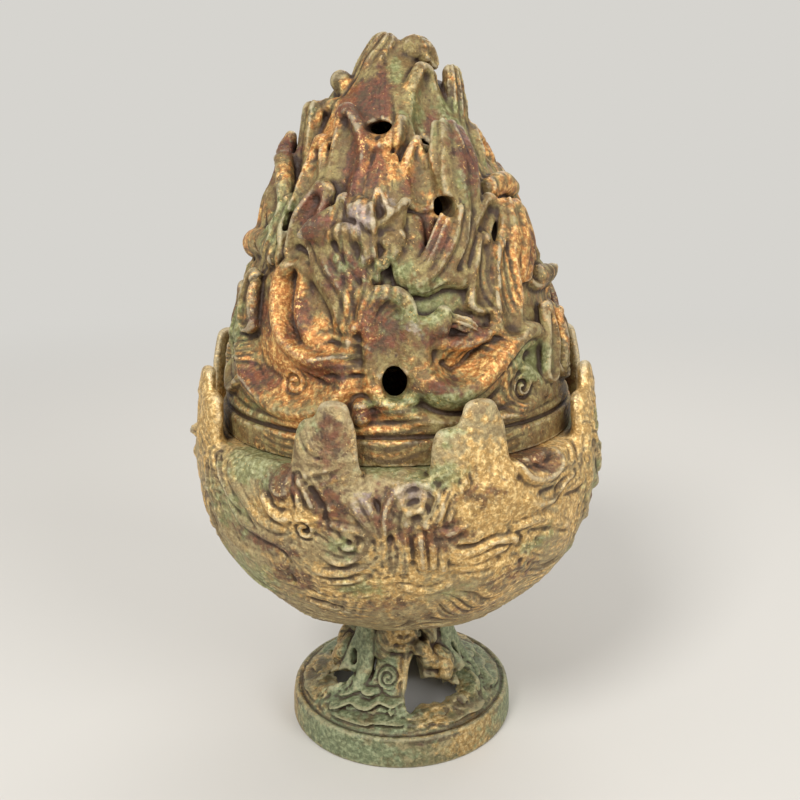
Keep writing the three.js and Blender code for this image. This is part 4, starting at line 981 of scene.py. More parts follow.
def bowl_relief(step):
    """The bowl's swirls, the lines of its crown, and fine folds beside and between the main ones."""
    relief = Relief(*BOWL_CHART, step / 1.3, reach_at_angle, lambda angle: np.full(angle.shape, DEGREE_RISE),
                    lambda reach, z: np.degrees(np.arctan2(z - WAIST_Z, reach)))
    for turn, hood in zip(BOWL_TURNS, (0, 1, 0.5), strict=True):
        carve_bowl_side(relief, turn, hood)
    for azimuth, rise, wide, offset, _ in CROWN:
        side = 1 if offset > 0 else -1
        relief.lip([(azimuth - side * 7, 14), (azimuth - side * 6, 20), (azimuth, 24), (azimuth + side * 5, 21)],
                   height=1.0, inside=5, side=-side)
        relief.ridge([(azimuth - 1, 8), (azimuth + side, 14), (azimuth, 20)], height=0.9, width=1.6)
        relief.ridge([(azimuth + side * 5, 6), (azimuth + side * 6, 12), (azimuth + side * 4, 17)], height=0.8,
                     width=1.4)
    low = smooth_step(*SEAT_FADE, relief.levels)[None, :]
    relief.height += (waves(relief, 21, 0.2, 13, 0.2) * low).astype(np.float32)
    paths = [turned(points, turn) for turn in BOWL_TURNS for points, _, _ in BOWL_FOLDS]
    off = relief.nearness(paths, BESIDE_FOLDS)
    beside = 1 - smooth_step(BESIDE_FOLDS * 0.4, BESIDE_FOLDS, off)
    patchy = 0.3 + 0.7 * smooth_step(-0.8, 1.2, waves(relief, 12, 0.7, 12, 0.2))
    relief.flow(off + waves(relief, 14, 0.25, 20, 0.3), 0.42, 2.2, low * beside * patchy)
    field = waves(relief, 11, 1.3, 12, 0.16) + eddies(relief, BOWL_EDDIES, BOWL_TURNS)
    relief.flow(field + relief.levels[None, :] * DEGREE_RISE, 0.55, 2.3, low * (1 - 0.6 * beside) * patchy)
    relief.height *= 1 - 0.5 * smooth_step(*CROWN_FADE, relief.levels)[None, :]
    return relief


def bowl(voxel):
    """The bowl's solid: a cup with a lip, a crown of peaks and swirls on its outside."""
    step = grid_step(voxel)
    reach = BOWL_RADIUS + BOWL_ROOM
    solid = Solid((-reach, -reach, BOWL_FOOT_Z - 2), (reach, reach, LEDGE_Z + CROWN_ROOM), step)
    seat_top = BOWL_FOOT_Z + SEAT_RISE
    outer = np.concatenate([np.linspace(BOWL_FOOT_Z, seat_top, 20)[2:], np.linspace(60, LEDGE_Z, 40)])
    inner_radius, inner_depth = BOWL_RADIUS - BOWL_WALL, BOWL_DEPTH - BOWL_WALL
    floor_z = BOWL_FOOT_Z + BOWL_WALL
    inner = np.linspace(WAIST_Z, floor_z, 50)
    shares = (1 - ((WAIST_Z - inner) / inner_depth).clip(0, 1) ** BOWL_ROUNDNESS) ** (1 / BOWL_ROUNDNESS)
    profile = [(BORE, BOWL_FOOT_Z), (SEAT_RADIUS, BOWL_FOOT_Z)]
    profile += [(float(bowl_radius(z)), z) for z in outer if float(bowl_radius(z)) > SEAT_RADIUS + 1]
    profile += [(LIP_OUTER, LEDGE_Z), (LIP_OUTER, LIP_Z - LIP_ROUNDING), (LIP_OUTER - LIP_ROUNDING, LIP_Z),
                (LIP_INNER + LIP_ROUNDING, LIP_Z), (LIP_INNER, LIP_Z - LIP_ROUNDING), (LIP_INNER, LEDGE_Z - BOWL_WALL)]
    profile += [(max(inner_radius * share, FLOOR_RADIUS), z) for share, z in zip(shares, inner, strict=True)]
    profile += [(BORE, floor_z)]
    solid.values[:] = solid.revolve(profile)
    for azimuth, rise, wide, offset, lobe in CROWN:
        crown_peak(solid, azimuth, rise, wide)
        crown_peak(solid, azimuth + offset, lobe, wide * LOBE_SHARE)
    relief = bowl_relief(step)
    radius = np.where(solid.z < LEDGE_Z, bowl_radius(solid.z), BOWL_RADIUS)
    solid.emboss(relief, np.maximum(radius - BOWL_SKIN, SEAT_RADIUS + 4))
    return solid, relief


# The foot

# How deep openings are cut on either side of the dome's skin, and how far fine waves run beside the main ones
HOLE_DEPTH = 7
BESIDE_WAVES = 6.0
# The dome's wall, the band's width at its foot, and the height at which the hollow's outline ends
DOME_WALL = 4
BAND_WIDTH = 6.5
HOLLOW_END = 8
FOOT_TURNS = (0, 120, 240)
# Centres that the fine waves wind round, as for the bowl
FOOT_EDDIES = [(-60, 30, 6, 7), (20, 38, 6, -7), (72, 20, 6, 7), (56, 34, 6, 7)]
# Openings of one third of the foot: path of (azimuth, height), and half widths
FOOT_HOLES = [
    ([(17, 30.5), (15, 27), (13.5, 22.5), (10, 18.5), (7, 16.3)], [1.4, 2.8, 3.4, 3.4, 1.8]),
    ([(12, 18.8), (24, 19.6), (37, 18.4)], [3.8, 4.6, 3.8]),
    ([(-72, 16.8), (-63, 18.5), (-55, 21.5)], [2.0, 2.8, 2.3]),
    ([(27, 39.6), (28, 37.6)], [1.1, 1.4]),
    ([(67, 29), (70, 26.5)], [1.8, 1.6]),
]
# Beasts' necks and stems: path of (azimuth, height, lift), half widths, half thickness, ribs
FOOT_NECKS = [
    ([(-49, 25, 0), (-53, 31, 0.6), (-53, 38, 0.8), (-50, 44, 0.3)], [2.2, 3.4, 3.6, 3.2], 2.0, 0),
    ([(-38, 20, 0), (-37, 26, 0.7), (-40, 33, 1), (-42, 43, 0.4)], [2.0, 3.4, 3.4, 3], 2.2, 0),
    ([(-22, 32, 0), (-19, 38, 0.6), (-12, 44, 0.3)], [3, 4.2, 4], 2.0, 0),
    ([(24, 35, 0.4), (26, 31, 2), (34, 29, 2.2)], [3.4, 4, 2.6], 2.8, 0),
    ([(42, 31, 0.4), (46, 27.5, 2.4), (42, 24, 1.8)], [3.2, 4.4, 2.8], 2.8, 0),
    ([(58, 33, 0), (62, 25, 1.4), (64, 17, 1)], [3.0, 3.4, 2.6], 2.4, 2),
    ([(44, 42, 0), (40, 37, 1)], [3, 2.4], 2.2, 2),
]
# Waves and draped lines of one third of the foot: path of azimuth and height, height and width
FOOT_FOLDS = [
    ([(-46, 13.1), (-34, 13.4), (-23, 13.5), (-13, 14.3), (-3, 14.2), (7, 13.5)], 1.3, 1.3),
    ([(5, 13.4), (18, 14.2), (27, 13.2), (42, 13.4), (55, 13.4)], 1.3, 1.4),
    ([(-52, 13.6), (-44, 14.6), (-36, 17), (-28, 16.6), (-22, 16.9), (-16, 18.7), (-8, 18.1), (2, 18.6)], 1.7, 1.5),
    ([(-50, 17), (-42, 18.5), (-36, 21), (-28, 20), (-20, 20.4)], 1.7, 1.4),
    ([(-60, 14), (-56, 17), (-48, 19), (-44, 22.4)], 1.3, 1.3), ([(-82, 14.5), (-74, 13.6), (-62, 13.4)], 1.3, 1.4),
    ([(-26, 41), (-24, 38.7), (-16, 36), (-5, 34.5), (6, 34.5)], 1.2, 1.1),
    ([(-20, 43), (-12, 39.5), (-2, 37.8), (8, 37.6)], 1.1, 1.1), ([(-8, 43), (2, 41), (12, 41)], 0.9, 1.1),
    ([(2, 20), (3, 26), (6, 32)], 1.0, 1.8), ([(44, 15), (49, 19), (51, 23)], 1.6, 1.5),
    ([(52, 14), (58, 16), (60, 21)], 1.2, 1.3), ([(12, 13.6), (20, 15.2), (30, 14.6)], 1.0, 1.2),
    ([(20, 34), (30, 35), (38, 33)], 1.2, 1.2), ([(-70, 24), (-60, 25), (-50, 29)], 1.4, 1.4),
    ([(-74, 29), (-64, 32), (-58, 38)], 1.1, 1.3),
]
# Spirals that end the waves: azimuth, height, radius and the way they wind
FOOT_SPIRALS = [(-12, 25, 5.6, 1), (-46, 21, 3.8, -1), (53, 18, 3.2, 1), (-6, 16.4, 2.6, -1)]
# Deep grooves beside the necks
FOOT_GROOVES = [([(-29, 38), (-31, 33), (-31, 27), (-30, 23)], 2.2, 1.5), ([(-47, 24), (-46, 31), (-46, 38)], 1.6, 1.2),
                ([(48, 15.5), (54, 17.5), (56, 20)], 1.4, 1.1)]


def carve_foot_third(relief, turn):
    """Waves, spirals and grooves of one third of the dome."""

    def at(*points):
        return turned(points, turn)

    for azimuth, z, radius, hand in FOOT_SPIRALS:
        relief.mound(azimuth + turn, z, radius, radius, 0.8)
        relief.whirl(azimuth + turn, z, radius=radius, height=0.9, pitch=2.3, hand=hand)
    for points, height, width in FOOT_FOLDS:
        relief.ridge(at(*points), height, width)
    for points, depth, width in FOOT_GROOVES:
        relief.ridge(at(*points), -depth, width)
    for azimuth in (-40, -36):
        relief.ridge(at((azimuth, 27), (azimuth + 1, 33), (azimuth + 3, 40)), height=0.8, width=1.1)


def foot(voxel):
    """The foot's solid: a plain band round a pierced dome of waves, with necks rising to the plate."""
    step = grid_step(voxel)
    reach = FOOT_RADIUS + 3
    solid = Solid((-reach, -reach, -1.5), (reach, reach, FOOT_TOP + 3), step)
    heights = np.linspace(FOOT_BAND_HEIGHT - 1.2, FOOT_TOP, 30)
    profile = [(FOOT_RADIUS - BAND_WIDTH, 0), (FOOT_RADIUS - 0.6, 0), (FOOT_RADIUS, 0.6), (FOOT_RADIUS - 0.2, 7),
               (FOOT_RADIUS - 0.9, FOOT_BAND_HEIGHT - 0.8), (FOOT_RADIUS - 2, FOOT_BAND_HEIGHT),
               (FOOT_RADIUS - 3.4, FOOT_BAND_HEIGHT - 1)]
    profile += [(float(dome_radius(z)), z) for z in heights if dome_radius(z) < FOOT_RADIUS - 4]
    profile += [(BORE, FOOT_TOP), (BORE, FOOT_PLATE_Z)]
    profile += [(float(dome_radius(z + 2)) - DOME_WALL, z) for z in np.linspace(FOOT_PLATE_Z, HOLLOW_END, 24)]
    relief = Relief(0, FOOT_TOP, step / 2, dome_radius,
                    lambda z: np.hypot(1, (dome_radius(z) - NECK_RADIUS) / DOME_FLARE), lambda reach, z: z)
    for turn in FOOT_TURNS:
        carve_foot_third(relief, turn)
    bare = 1 - smooth_step(0.3, 1.2, np.abs(relief.height))
    paths = [turned(points, turn) for turn in FOOT_TURNS for points, _, _ in FOOT_FOLDS]
    off = relief.nearness(paths, BESIDE_WAVES)
    field = waves(relief, 3, 0.5, 9, 0.3) + eddies(relief, FOOT_EDDIES, FOOT_TURNS)
    relief.flow(field + off, 0.4, 2.3, 0.3 + 0.7 * bare)
    relief.height *= (
        smooth_step(FOOT_BAND_HEIGHT - 1, FOOT_BAND_HEIGHT + 1.5, relief.levels)
        * (1 - smooth_step(FOOT_TOP - 3, FOOT_TOP - 1, relief.levels))
    )[None, :]
    solid.values[:] = solid.revolve(profile, relief, limit=3.5)
    for turn in FOOT_TURNS:
        for path, widths, thick, ribs in FOOT_NECKS:
            solid.sweep([on_dome(*place) for place in turned(path, turn)], widths, thick, ribs, rib_depth=0.5,
                        blend=1.2)
    plane = (solid.z - FOOT_TOP)[None, None, :]
    solid.values[:] = np.maximum(solid.values, plane)
    for turn in FOOT_TURNS:
        for path, widths in FOOT_HOLES:
            solid.sweep([on_dome(*place, -1) for place in turned(path, turn)], widths, HOLE_DEPTH, cutting=True,
                        blend=1.0)
    return solid, relief


# The rivet and its washer

# The gap round the rivet, its tail's radius as a share of its shank's, and the washer's rounded corners
RIVET_PLAY = 0.3
TAIL_SHARE = 5.5 / 3
WASHER_ROUNDING = 0.25
RIVET_SIDES = 64
# The tones of a plain turned surface, and how worn its upper half is
RIVET_TONES = {"edge": 0.4, "hollow": 0.35, "groove": 0.5, "streak": 0.5}
UPPER_EDGE = 0.55


def turned_mesh(profile, sides):
    """Points and faces of a body turned about the axis, from a closed outline of (radius, height) points."""
    points, faces = [], []
    rings = []
    for radius, z in profile:
        if radius < TINY:
            rings.append([len(points)] * sides)
            points.append((0.0, 0.0, z))
            continue
        rings.append(list(range(len(points), len(points) + sides)))
        points += [around(360 * k / sides, radius, z) for k in range(sides)]
    for low, high in zip(rings, rings[1:] + rings[:1], strict=True):
        for k in range(sides):
            n = (k + 1) % sides
            corners = list(dict.fromkeys([low[k], low[n], high[n], high[k]]))
            if len(corners) > 2:
                faces.append(corners)
    return np.array(points), faces


def rounded(profile, radius):
    """The outline with its corners off the axis cut round."""
    found = []
    for i, corner in enumerate(profile):
        before, after = np.array(profile[i - 1]), np.array(profile[(i + 1) % len(profile)])
        here = np.array(corner, float)
        if here[0] < TINY:
            found.append(tuple(here))
            continue
        reach = min(radius, np.linalg.norm(before - here) * 0.4, np.linalg.norm(after - here) * 0.4)
        start = here + (before - here) / np.linalg.norm(before - here) * reach
        stop = here + (after - here) / np.linalg.norm(after - here) * reach
        for t in (0, 0.25, 0.5, 0.75, 1):
            found.append(tuple((1 - t) ** 2 * start + 2 * t * (1 - t) * here + t * t * stop))
    return found


# Meshes

def linked(name, data):
    """A new object of some data, in the scene."""
    made = bpy.data.objects.new(name, data)
    bpy.context.scene.collection.objects.link(made)
    return made


def mesh_piece(name, points_mm, loops, sizes, tones, material):
    """A mesh object in metres, with one value a point of each tone that its patina follows."""
    mesh = bpy.data.meshes.new(name)
    mesh.vertices.add(len(points_mm))
    mesh.vertices.foreach_set("co", (points_mm * MM).astype(np.float32).ravel())
    mesh.loops.add(len(loops))
    mesh.loops.foreach_set("vertex_index", loops.astype(np.int32))
    mesh.polygons.add(len(sizes))
    mesh.polygons.foreach_set("loop_start", np.concatenate([[0], np.cumsum(sizes)[:-1]]).astype(np.int32))
    mesh.polygons.foreach_set("use_smooth", np.full(len(sizes), True))
    mesh.update(calc_edges=True)
    if mesh.validate():
        raise RuntimeError(f"{name} has faces that share points wrongly")
    for tone, values in tones.items():
        layer = mesh.attributes.new(tone, "FLOAT", "POINT")
        layer.data.foreach_set("value", values.astype(np.float32))
    mesh.materials.append(material)
    return linked(name, mesh)


def spotted(spots, azimuth, level, turns):
    """How strongly soft oval patches cover each point, from 0 to 1."""
    cover = np.zeros(len(azimuth))
    for middle, height, wide, tall, strength in spots:
        for turn in turns:
            off = (azimuth - middle - turn + 180) % 360 - 180
            near = np.exp(-((off / wide) ** 2 + ((level - height) / tall) ** 2))
            cover = np.maximum(cover, strength * near)
    return cover


# The tones that follow how full a point's neighbourhood is: its radius in millimetres, and the contrast
FULLNESS_TONES = {"edge": (1.6, -5), "groove": (0.9, 7), "hollow": (4.5, 3.2)}


def sculpted_piece(name, solid, relief, spots, level_of, turns, material):
    """A casting's mesh with its tones: worn edges that also carry painted highlights, grooves and hollows that carry
    dirt and painted shade, streaks, and the patches of each patina.
    """
    points, loops, sizes = solid.surface()
    azimuth = np.degrees(np.arctan2(points[:, 0], -points[:, 1]))
    level = level_of(points)
    streaks = relief.streaks_at(azimuth, np.hypot(points[:, 0], points[:, 1]), points[:, 2])
    tones = {"streak": np.clip(streaks, -1, 1) * 0.5 + 0.5}
    for tone, (radius, contrast) in FULLNESS_TONES.items():
        full = solid.sample(solid.blurred(radius), points)
        tones[tone] = np.clip((full - 0.5) * contrast, -1, 1) * 0.5 + 0.5
    for tone, patches in spots.items():
        tones[tone] = spotted(patches, azimuth, level, turns)
    return mesh_piece(name, points, loops, sizes, tones, material)


# Materials

def linear(colour):
    """A hex sRGB colour as linear RGBA."""
    parts = [int(colour[i:i + 2], 16) / 255 for i in (1, 3, 5)]
    return (*((c / 12.92 if c <= 0.04045 else ((c + 0.055) / 1.055) ** 2.4) for c in parts), 1.0)


def node(tree, kind, inputs=None, **settings):
    """Adds a node with its settings, and links or sets its inputs."""
    made = tree.nodes.new(kind)
    for key, value in settings.items():
        setattr(made, key, value)
    for key, value in (inputs or {}).items():
        if isinstance(value, bpy.types.NodeSocket):
            tree.links.new(value, made.inputs[key])
        else:
            made.inputs[key].default_value = value
    return made


# Noises that break up a patina's layers: size in millimetres, detail and distortion
NOISES = {
    "cloud": (9, 5, 0), "blotch": (4.2, 7, 0), "speck": (1.5, 6, 0), "grain": (0.6, 3, 0), "fleck": (2.4, 9, 0.5),
    "glint": (0.8, 4, 0), "rust": (2.8, 8, 0), "bloom": (3.6, 8, 0),
}
# Tones that the sculpted meshes carry, and that are 0 where a mesh lacks them
TONES = ("edge", "hollow", "groove", "streak", "gilt", "red", "green", "ash")
# How high the grain of the surface stands, and the roughness that its layers start from
BUMP_MM = 0.7
BASE_ROUGHNESS = 0.38


class Patina:
    """A bronze's shader: colours laid over one another through masks of noise and of the sculpt's own tones."""

    def __init__(self, name, seed):
        self.material = bpy.data.materials.new(name)
        self.material.use_nodes = True
        self.tree = self.material.node_tree
        self.tree.nodes.clear()
        point = node(self.tree, "ShaderNodeTexCoord").outputs["Object"]
        point = node(self.tree, "ShaderNodeVectorMath", {0: point, 1: (1 / MM,) * 3, 2: (17.0 * seed, 5.0 * seed, 0.0)},
                     operation="MULTIPLY_ADD").outputs[0]
        self.fields = {tone: node(self.tree, "ShaderNodeAttribute", attribute_name=tone).outputs["Fac"]
                       for tone in TONES}
        for field, (size, detail, distortion) in NOISES.items():
            self.fields[field] = node(self.tree, "ShaderNodeTexNoise", {
                "Vector": point, "Scale": 1 / size, "Detail": detail, "Distortion": distortion,
            }).outputs["Fac"]
        self.colour = None

    def sum(self, **weights):
        """The sum of the named fields, each times its weight."""
        total = 0.0
        for name, weight in weights.items():
            total = node(self.tree, "ShaderNodeMath", {0: self.fields[name], 1: weight, 2: total},
                         operation="MULTIPLY_ADD").outputs[0]
        return total

    def mask(self, low, high, top=1.0, **weights):
        """A sum of fields as a mask: 0 up to low, and top from high on."""
        return node(self.tree, "ShaderNodeMapRange", {
            "Value": self.sum(**weights), "From Min": low, "From Max": high, "To Min": 0.0, "To Max": top,
        }, interpolation_type="SMOOTHSTEP").outputs["Result"]

    def mixed(self, first, second, mask):
        return node(self.tree, "ShaderNodeMix", {0: mask, 6: first, 7: second}, data_type="RGBA").outputs[2]

    def lay(self, colour, mask):
        """Lays a colour over what is there through a mask."""
        self.colour = self.mixed(self.colour, colour, mask)

    def shade(self, low, high, **weights):
        """Darkens and brightens the colours by a factor from low to high."""
        factor = node(self.tree, "ShaderNodeMapRange", {
            "Value": self.sum(**weights), "From Min": 0.4, "From Max": 0.62, "To Min": low, "To Max": high,
        }).outputs["Result"]
        self.colour = node(self.tree, "ShaderNodeVectorMath", {0: self.colour, "Scale": factor},
                           operation="SCALE").outputs[0]

    def close(self, roughness, metallic, bump):
        raised = node(self.tree, "ShaderNodeBump", {"Height": bump, "Distance": BUMP_MM * MM, "Strength": 1.0})
        shader = node(self.tree, "ShaderNodeBsdfPrincipled", {
            "Base Color": self.colour, "Roughness": roughness, "Metallic": metallic,
            "Normal": raised.outputs["Normal"],
        })
        node(self.tree, "ShaderNodeOutputMaterial", {"Surface": shader.outputs[0]})
        return self.material


def patinated_bronze(name, seed, colours, gilding, greening, reddening, metal):
    """Cast bronze with worn ridges partly painted as highlights, remains of gilding with glints painted in, red-brown
    and green patina, and dirt and painted shade in its hollows.
    """
    skin = Patina(name, seed)
    # Olive-brown oxide that turns tan and dark brown in clouds, and along the folds
    skin.colour = skin.mixed(colours.body, colours.tan, skin.mask(0.42, 0.6, blotch=0.7, speck=0.3))
    skin.lay(colours.deep, skin.mask(0.48, 0.62, 0.6, cloud=0.5, fleck=0.5))
    skin.lay(colours.deep, skin.mask(0.24, 0.42, 0.7, streak=-0.5, speck=0.5, fleck=0.5))
    # Remains of gilding, brighter in specks
    gold = skin.mixed(colours.gilt, colours.bright_gilt, skin.mask(0.46, 0.62, speck=0.6, glint=0.4))
    gilded = skin.mask(gilding + 0.06, gilding + 0.28, 0.88, fleck=0.6, cloud=0.4, streak=0.24, edge=0.1, gilt=0.42)
    skin.lay(gold, gilded)
    # Red-brown cuprite, green malachite and pale ash
    red = skin.mixed(colours.red, colours.dark_red, skin.mask(0.42, 0.58, blotch=0.5, speck=0.5))
    skin.lay(red, skin.mask(reddening, reddening + 0.24, 0.8, rust=0.8, speck=0.35, red=0.6))
    green = skin.mixed(colours.green, colours.pale_green, skin.mask(0.5, 0.72, speck=0.8, edge=0.3))
    skin.lay(green, skin.mask(greening, greening + 0.26, 0.78, bloom=0.7, fleck=0.45, hollow=0.1, green=0.5))
    skin.lay(colours.ash, skin.mask(0.82, 1.15, 0.8, blotch=0.5, speck=0.5, ash=0.6))
    skin.shade(0.64, 1.32, speck=0.4, grain=0.25, fleck=0.35)
    # Bright rubbed metal on the ridges, partly a painted highlight
    skin.lay(colours.worn, skin.mask(1.0, 1.4, 0.5, edge=1.0, groove=-0.6, speck=0.6, blotch=0.3))
    # Grains of bright gold, painted as glints
    skin.fields["gilded"] = gilded
    glints = skin.mask(gilding * 0.3 + 0.64, gilding * 0.3 + 0.72, 0.7, glint=1.0, edge=0.15, cloud=0.2, gilded=0.06)
    skin.lay(colours.bright_gilt, glints)
    # Dirt and painted shade that darken the grooves and hollows
    skin.lay(colours.dirt, skin.mask(-0.16, 0.24, 0.8, edge=-1.0, speck=0.4, hollow=0.25))
    skin.lay(colours.dirt, skin.mask(0.8, 1.1, 0.66, groove=1.0, speck=0.4, blotch=0.15))
    skin.lay(colours.dirt, skin.mask(0.54, 0.9, 0.88, hollow=1.0, edge=-0.4, speck=0.3))
    # Gilding is smoother and shows its metal, and hollows are rough and dull
    skin.fields["glints"] = glints
    skin.fields["shiny"] = skin.sum(gilded=0.7, glints=0.5)
    skin.fields["matt"] = skin.mask(0.2, 0.8, speck=0.5, blotch=0.5)
    skin.fields["bare"] = skin.mask(0.75, 0.4, hollow=1.0)
    roughness = node(skin.tree, "ShaderNodeMath", {0: skin.sum(matt=0.26, hollow=0.16, shiny=-0.14), 1: BASE_ROUGHNESS},
                     operation="ADD").outputs[0]
    return skin.close(roughness, skin.sum(bare=metal, shiny=0.4), skin.sum(grain=0.22, speck=0.55, fleck=0.8))


# Where the patinas lie on a piece: azimuth, level, how wide and tall, and how strong

LID_SPOTS = {
    "gilt": [
        (-3, 94, 16, 9, 0.85), (-35, 32, 18, 14, 1), (25, 32, 17, 10, 0.6), (-40, 50, 9, 10, 0.9),
        (-48, 100, 12, 12, 0.8), (-12, 98, 10, 6, 0.6), (47, 58, 8, 12, 0.8), (-8, 46, 9, 8, 0.5), (17, 76, 6, 10, 0.5),
        (20, 112, 16, 10, 0.3), (-10, 22, 12, 8, 0.6), (70, 40, 10, 10, 0.5), (-24, 12, 22, 5, 0.8),
        (58, 82, 12, 8, 0.6), (-44, 112, 12, 8, 0.7), (56, 66, 8, 10, 0.7), (98, 70, 12, 10, 0.8),
        (84, 100, 14, 8, 0.7),
    ],
    "red": [
        (-38, 113, 16, 7, 1), (-18, 112, 18, 10, 1.1), (-18, 93, 7, 13, 1), (40, 98, 14, 12, 0.8), (-4, 44, 8, 9, 1),
        (-22, 29, 9, 5, 1), (-32, 76, 9, 9, 1), (18, 40, 16, 5, 0.7), (14, 70, 6, 8, 0.8), (-48, 24, 12, 6, 0.7),
        (12, 24, 10, 4, 0.7), (34, 92, 10, 11, 0.8), (-16, 60, 12, 7, 0.7), (58, 62, 8, 12, 0.5), (-9, 18, 6, 4, 0.9),
        (6, 86, 5, 6, 0.6), (-52, 44, 10, 8, 0.7), (-8, 90, 5, 8, 0.9), (-33, 44, 6, 10, 0.7), (104, 94, 12, 9, 0.8),
        (92, 40, 8, 10, 0.8),
    ],
    "green": [
        (46, 28, 12, 8, 1), (8, 21, 22, 4, 0.9), (-55, 76, 12, 12, 0.8), (20, 108, 14, 10, 0.8), (6, 122, 14, 6, 0.8),
        (10, 50, 16, 9, 0.8), (60, 92, 10, 8, 0.5), (-72, 36, 12, 16, 0.8), (-14, 62, 12, 6, 0.5), (28, 84, 8, 8, 0.5),
        (-50, 12, 20, 6, 0.6), (0, 60, 10, 6, 0.8), (52, 106, 16, 12, 0.7), (90, 56, 10, 8, 0.8), (96, 110, 20, 8, 0.7),
        (112, 30, 10, 10, 0.7),
    ],
    "ash": [(-12, 76, 9, 7, 1), (-2, 80, 7, 6, 0.8), (-8, 66, 7, 5, 0.6), (6, 43, 5, 4, 0.8)],
}
BOWL_SPOTS = {
    "gilt": [
        (-28, -1, 10, 4, 1), (24, 4, 14, 14, 1), (-8, -20, 26, 8, 0.7), (-62, 20, 16, 18, 0.7), (50, -6, 14, 12, 0.7),
        (22, -12, 20, 8, 0.8), (62, 22, 12, 12, 0.7), (6, -9, 3, 6, 1), (30, -28, 24, 10, 0.5),
    ],
    "red": [
        (-30, 7, 8, 6, 1), (-38, -10.5, 15, 3, 1), (-16, 18, 7, 10, 0.7), (40, 10, 9, 5, 1), (-4, 2, 6, 9, 0.7),
        (8, -5, 14, 6, 0.8), (-16, 2, 6, 8, 0.9), (-30, -20, 10, 6, 0.8), (-2, -26, 14, 6, 0.6), (20, 5, 9, 7, 0.6),
        (34, -20, 14, 6, 0.6), (20, -34, 30, 8, 0.5),
    ],
    "green": [
        (-42, 10, 14, 8, 1), (9, 10, 9, 4, 1), (-3, 12, 8, 3, 1), (-50, -4, 14, 12, 0.7), (-10, -20, 10, 5, 0.8),
        (14, -22, 12, 6, 0.6), (38, -12, 10, 6, 0.7), (-26, 22, 8, 7, 0.8), (-48, -24, 20, 10, 0.8),
        (-14, -8, 5, 4, 0.8), (13, 20, 6, 6, 0.7),
    ],
    "ash": [(3, 6, 8, 5, 0.9), (-8, 3, 5, 6, 0.8), (37, 1, 8, 2, 0.6), (-26, -13, 5, 5, 0.5)],
}
# The strong gilt patch round the neck at a height of 40 and the weak red one at 36 are partly painted light that
# brightens the neck where the bowl shades it
FOOT_SPOTS = {
    "gilt": [
        (2, 27, 9, 10, 0.9), (40, 28, 14, 9, 1), (42, 6, 34, 8, 1), (28, 33, 8, 8, 0.9), (0, 40, 30, 7, 1),
        (20, 14, 22, 3, 0.8), (56, 18, 12, 6, 0.8), (-66, 24, 8, 4, 0.6),
    ],
    "red": [(0, 36, 20, 8, 0.4), (-2, 24, 6, 6, 0.5), (50, 20, 10, 6, 0.5), (14, 10, 30, 4, 0.5)],
    "green": [
        (-40, 20, 26, 10, 1), (-12, 25, 9, 8, 1), (-34, 6, 40, 7, 1), (-50, 34, 22, 12, 1), (78, 24, 14, 14, 0.8),
        (-6, 16, 16, 4, 1), (60, 36, 14, 8, 0.6),
    ],
    "ash": [(-60, 18, 10, 5, 0.4)],
}


# The stage, in metres

# Lamps: name, place, watts and diameter
LAMPS = [
    ("key", (-0.5, -0.85, 1.05), 12.0, 0.45),
    ("fill", (0.85, -0.85, 0.75), 7.5, 0.7),
    ("rim", (0.3, 0.9, 1.0), 5.0, 0.9),
]
LAMP_TARGET = (0, 0, 0.13)
SKY = "#e6e4e1"
SKY_STRENGTH = 0.66
BACKDROP = "#d6d4cf"
# How far from the burner the floor starts to fade into the backdrop, and has faded
FADE_START = 0.25
FADE_END = 1.1
# The camera: its place in millimetres, its angles in degrees, its sensor's width in millimetres, and how near in metres
# it sees
CAMERA_PLACE = (1.1, -331.3, 217.5)
CAMERA_PITCH = 14.88
CAMERA_ROLL = -0.8
SENSOR = 36
CLIP_START = 0.01


def seen(tree):
    """1 for what the camera or a gloss sees, and 0 for the light that falls on the burner."""
    rays = node(tree, "ShaderNodeLightPath")
    share = rays.outputs["Is Camera Ray"]
    for ray in ("Is Glossy Ray", "Is Transmission Ray"):
        share = node(tree, "ShaderNodeMath", {0: share, 1: rays.outputs[ray]}, operation="MAXIMUM").outputs[0]
    return share


def paper_floor(reach, tint):
    """A wide floor that fades into the backdrop away from the burner."""
    floor = bpy.data.meshes.new("floor")
    floor.from_pydata([(-reach, -reach, 0), (reach, -reach, 0), (reach, reach, 0), (-reach, reach, 0)], [],
                      [(0, 1, 2, 3)])
    # Matt pale paper sweep
    material = bpy.data.materials.new("Paper sweep, matt")
    material.use_nodes = True
    tree = material.node_tree
    tree.nodes.clear()
    paper = node(tree, "ShaderNodeBsdfPrincipled", {"Base Color": tint, "Roughness": 0.9})
    glow = node(tree, "ShaderNodeEmission", {"Color": linear(BACKDROP)})
    spot = node(tree, "ShaderNodeTexCoord").outputs["Object"]
    away = node(tree, "ShaderNodeVectorMath", {0: spot}, operation="LENGTH").outputs["Value"]
    far = node(tree, "ShaderNodeMapRange", {"Value": away, "From Min": FADE_START, "From Max": FADE_END},
               interpolation_type="SMOOTHSTEP").outputs["Result"]
    far = node(tree, "ShaderNodeMath", {0: far, 1: seen(tree)}, operation="MULTIPLY").outputs[0]
    shader = node(tree, "ShaderNodeMixShader", {0: far, 1: paper.outputs[0], 2: glow.outputs[0]})
    node(tree, "ShaderNodeOutputMaterial", {"Surface": shader.outputs[0]})
    floor.materials.append(material)
    return linked("floor", floor)


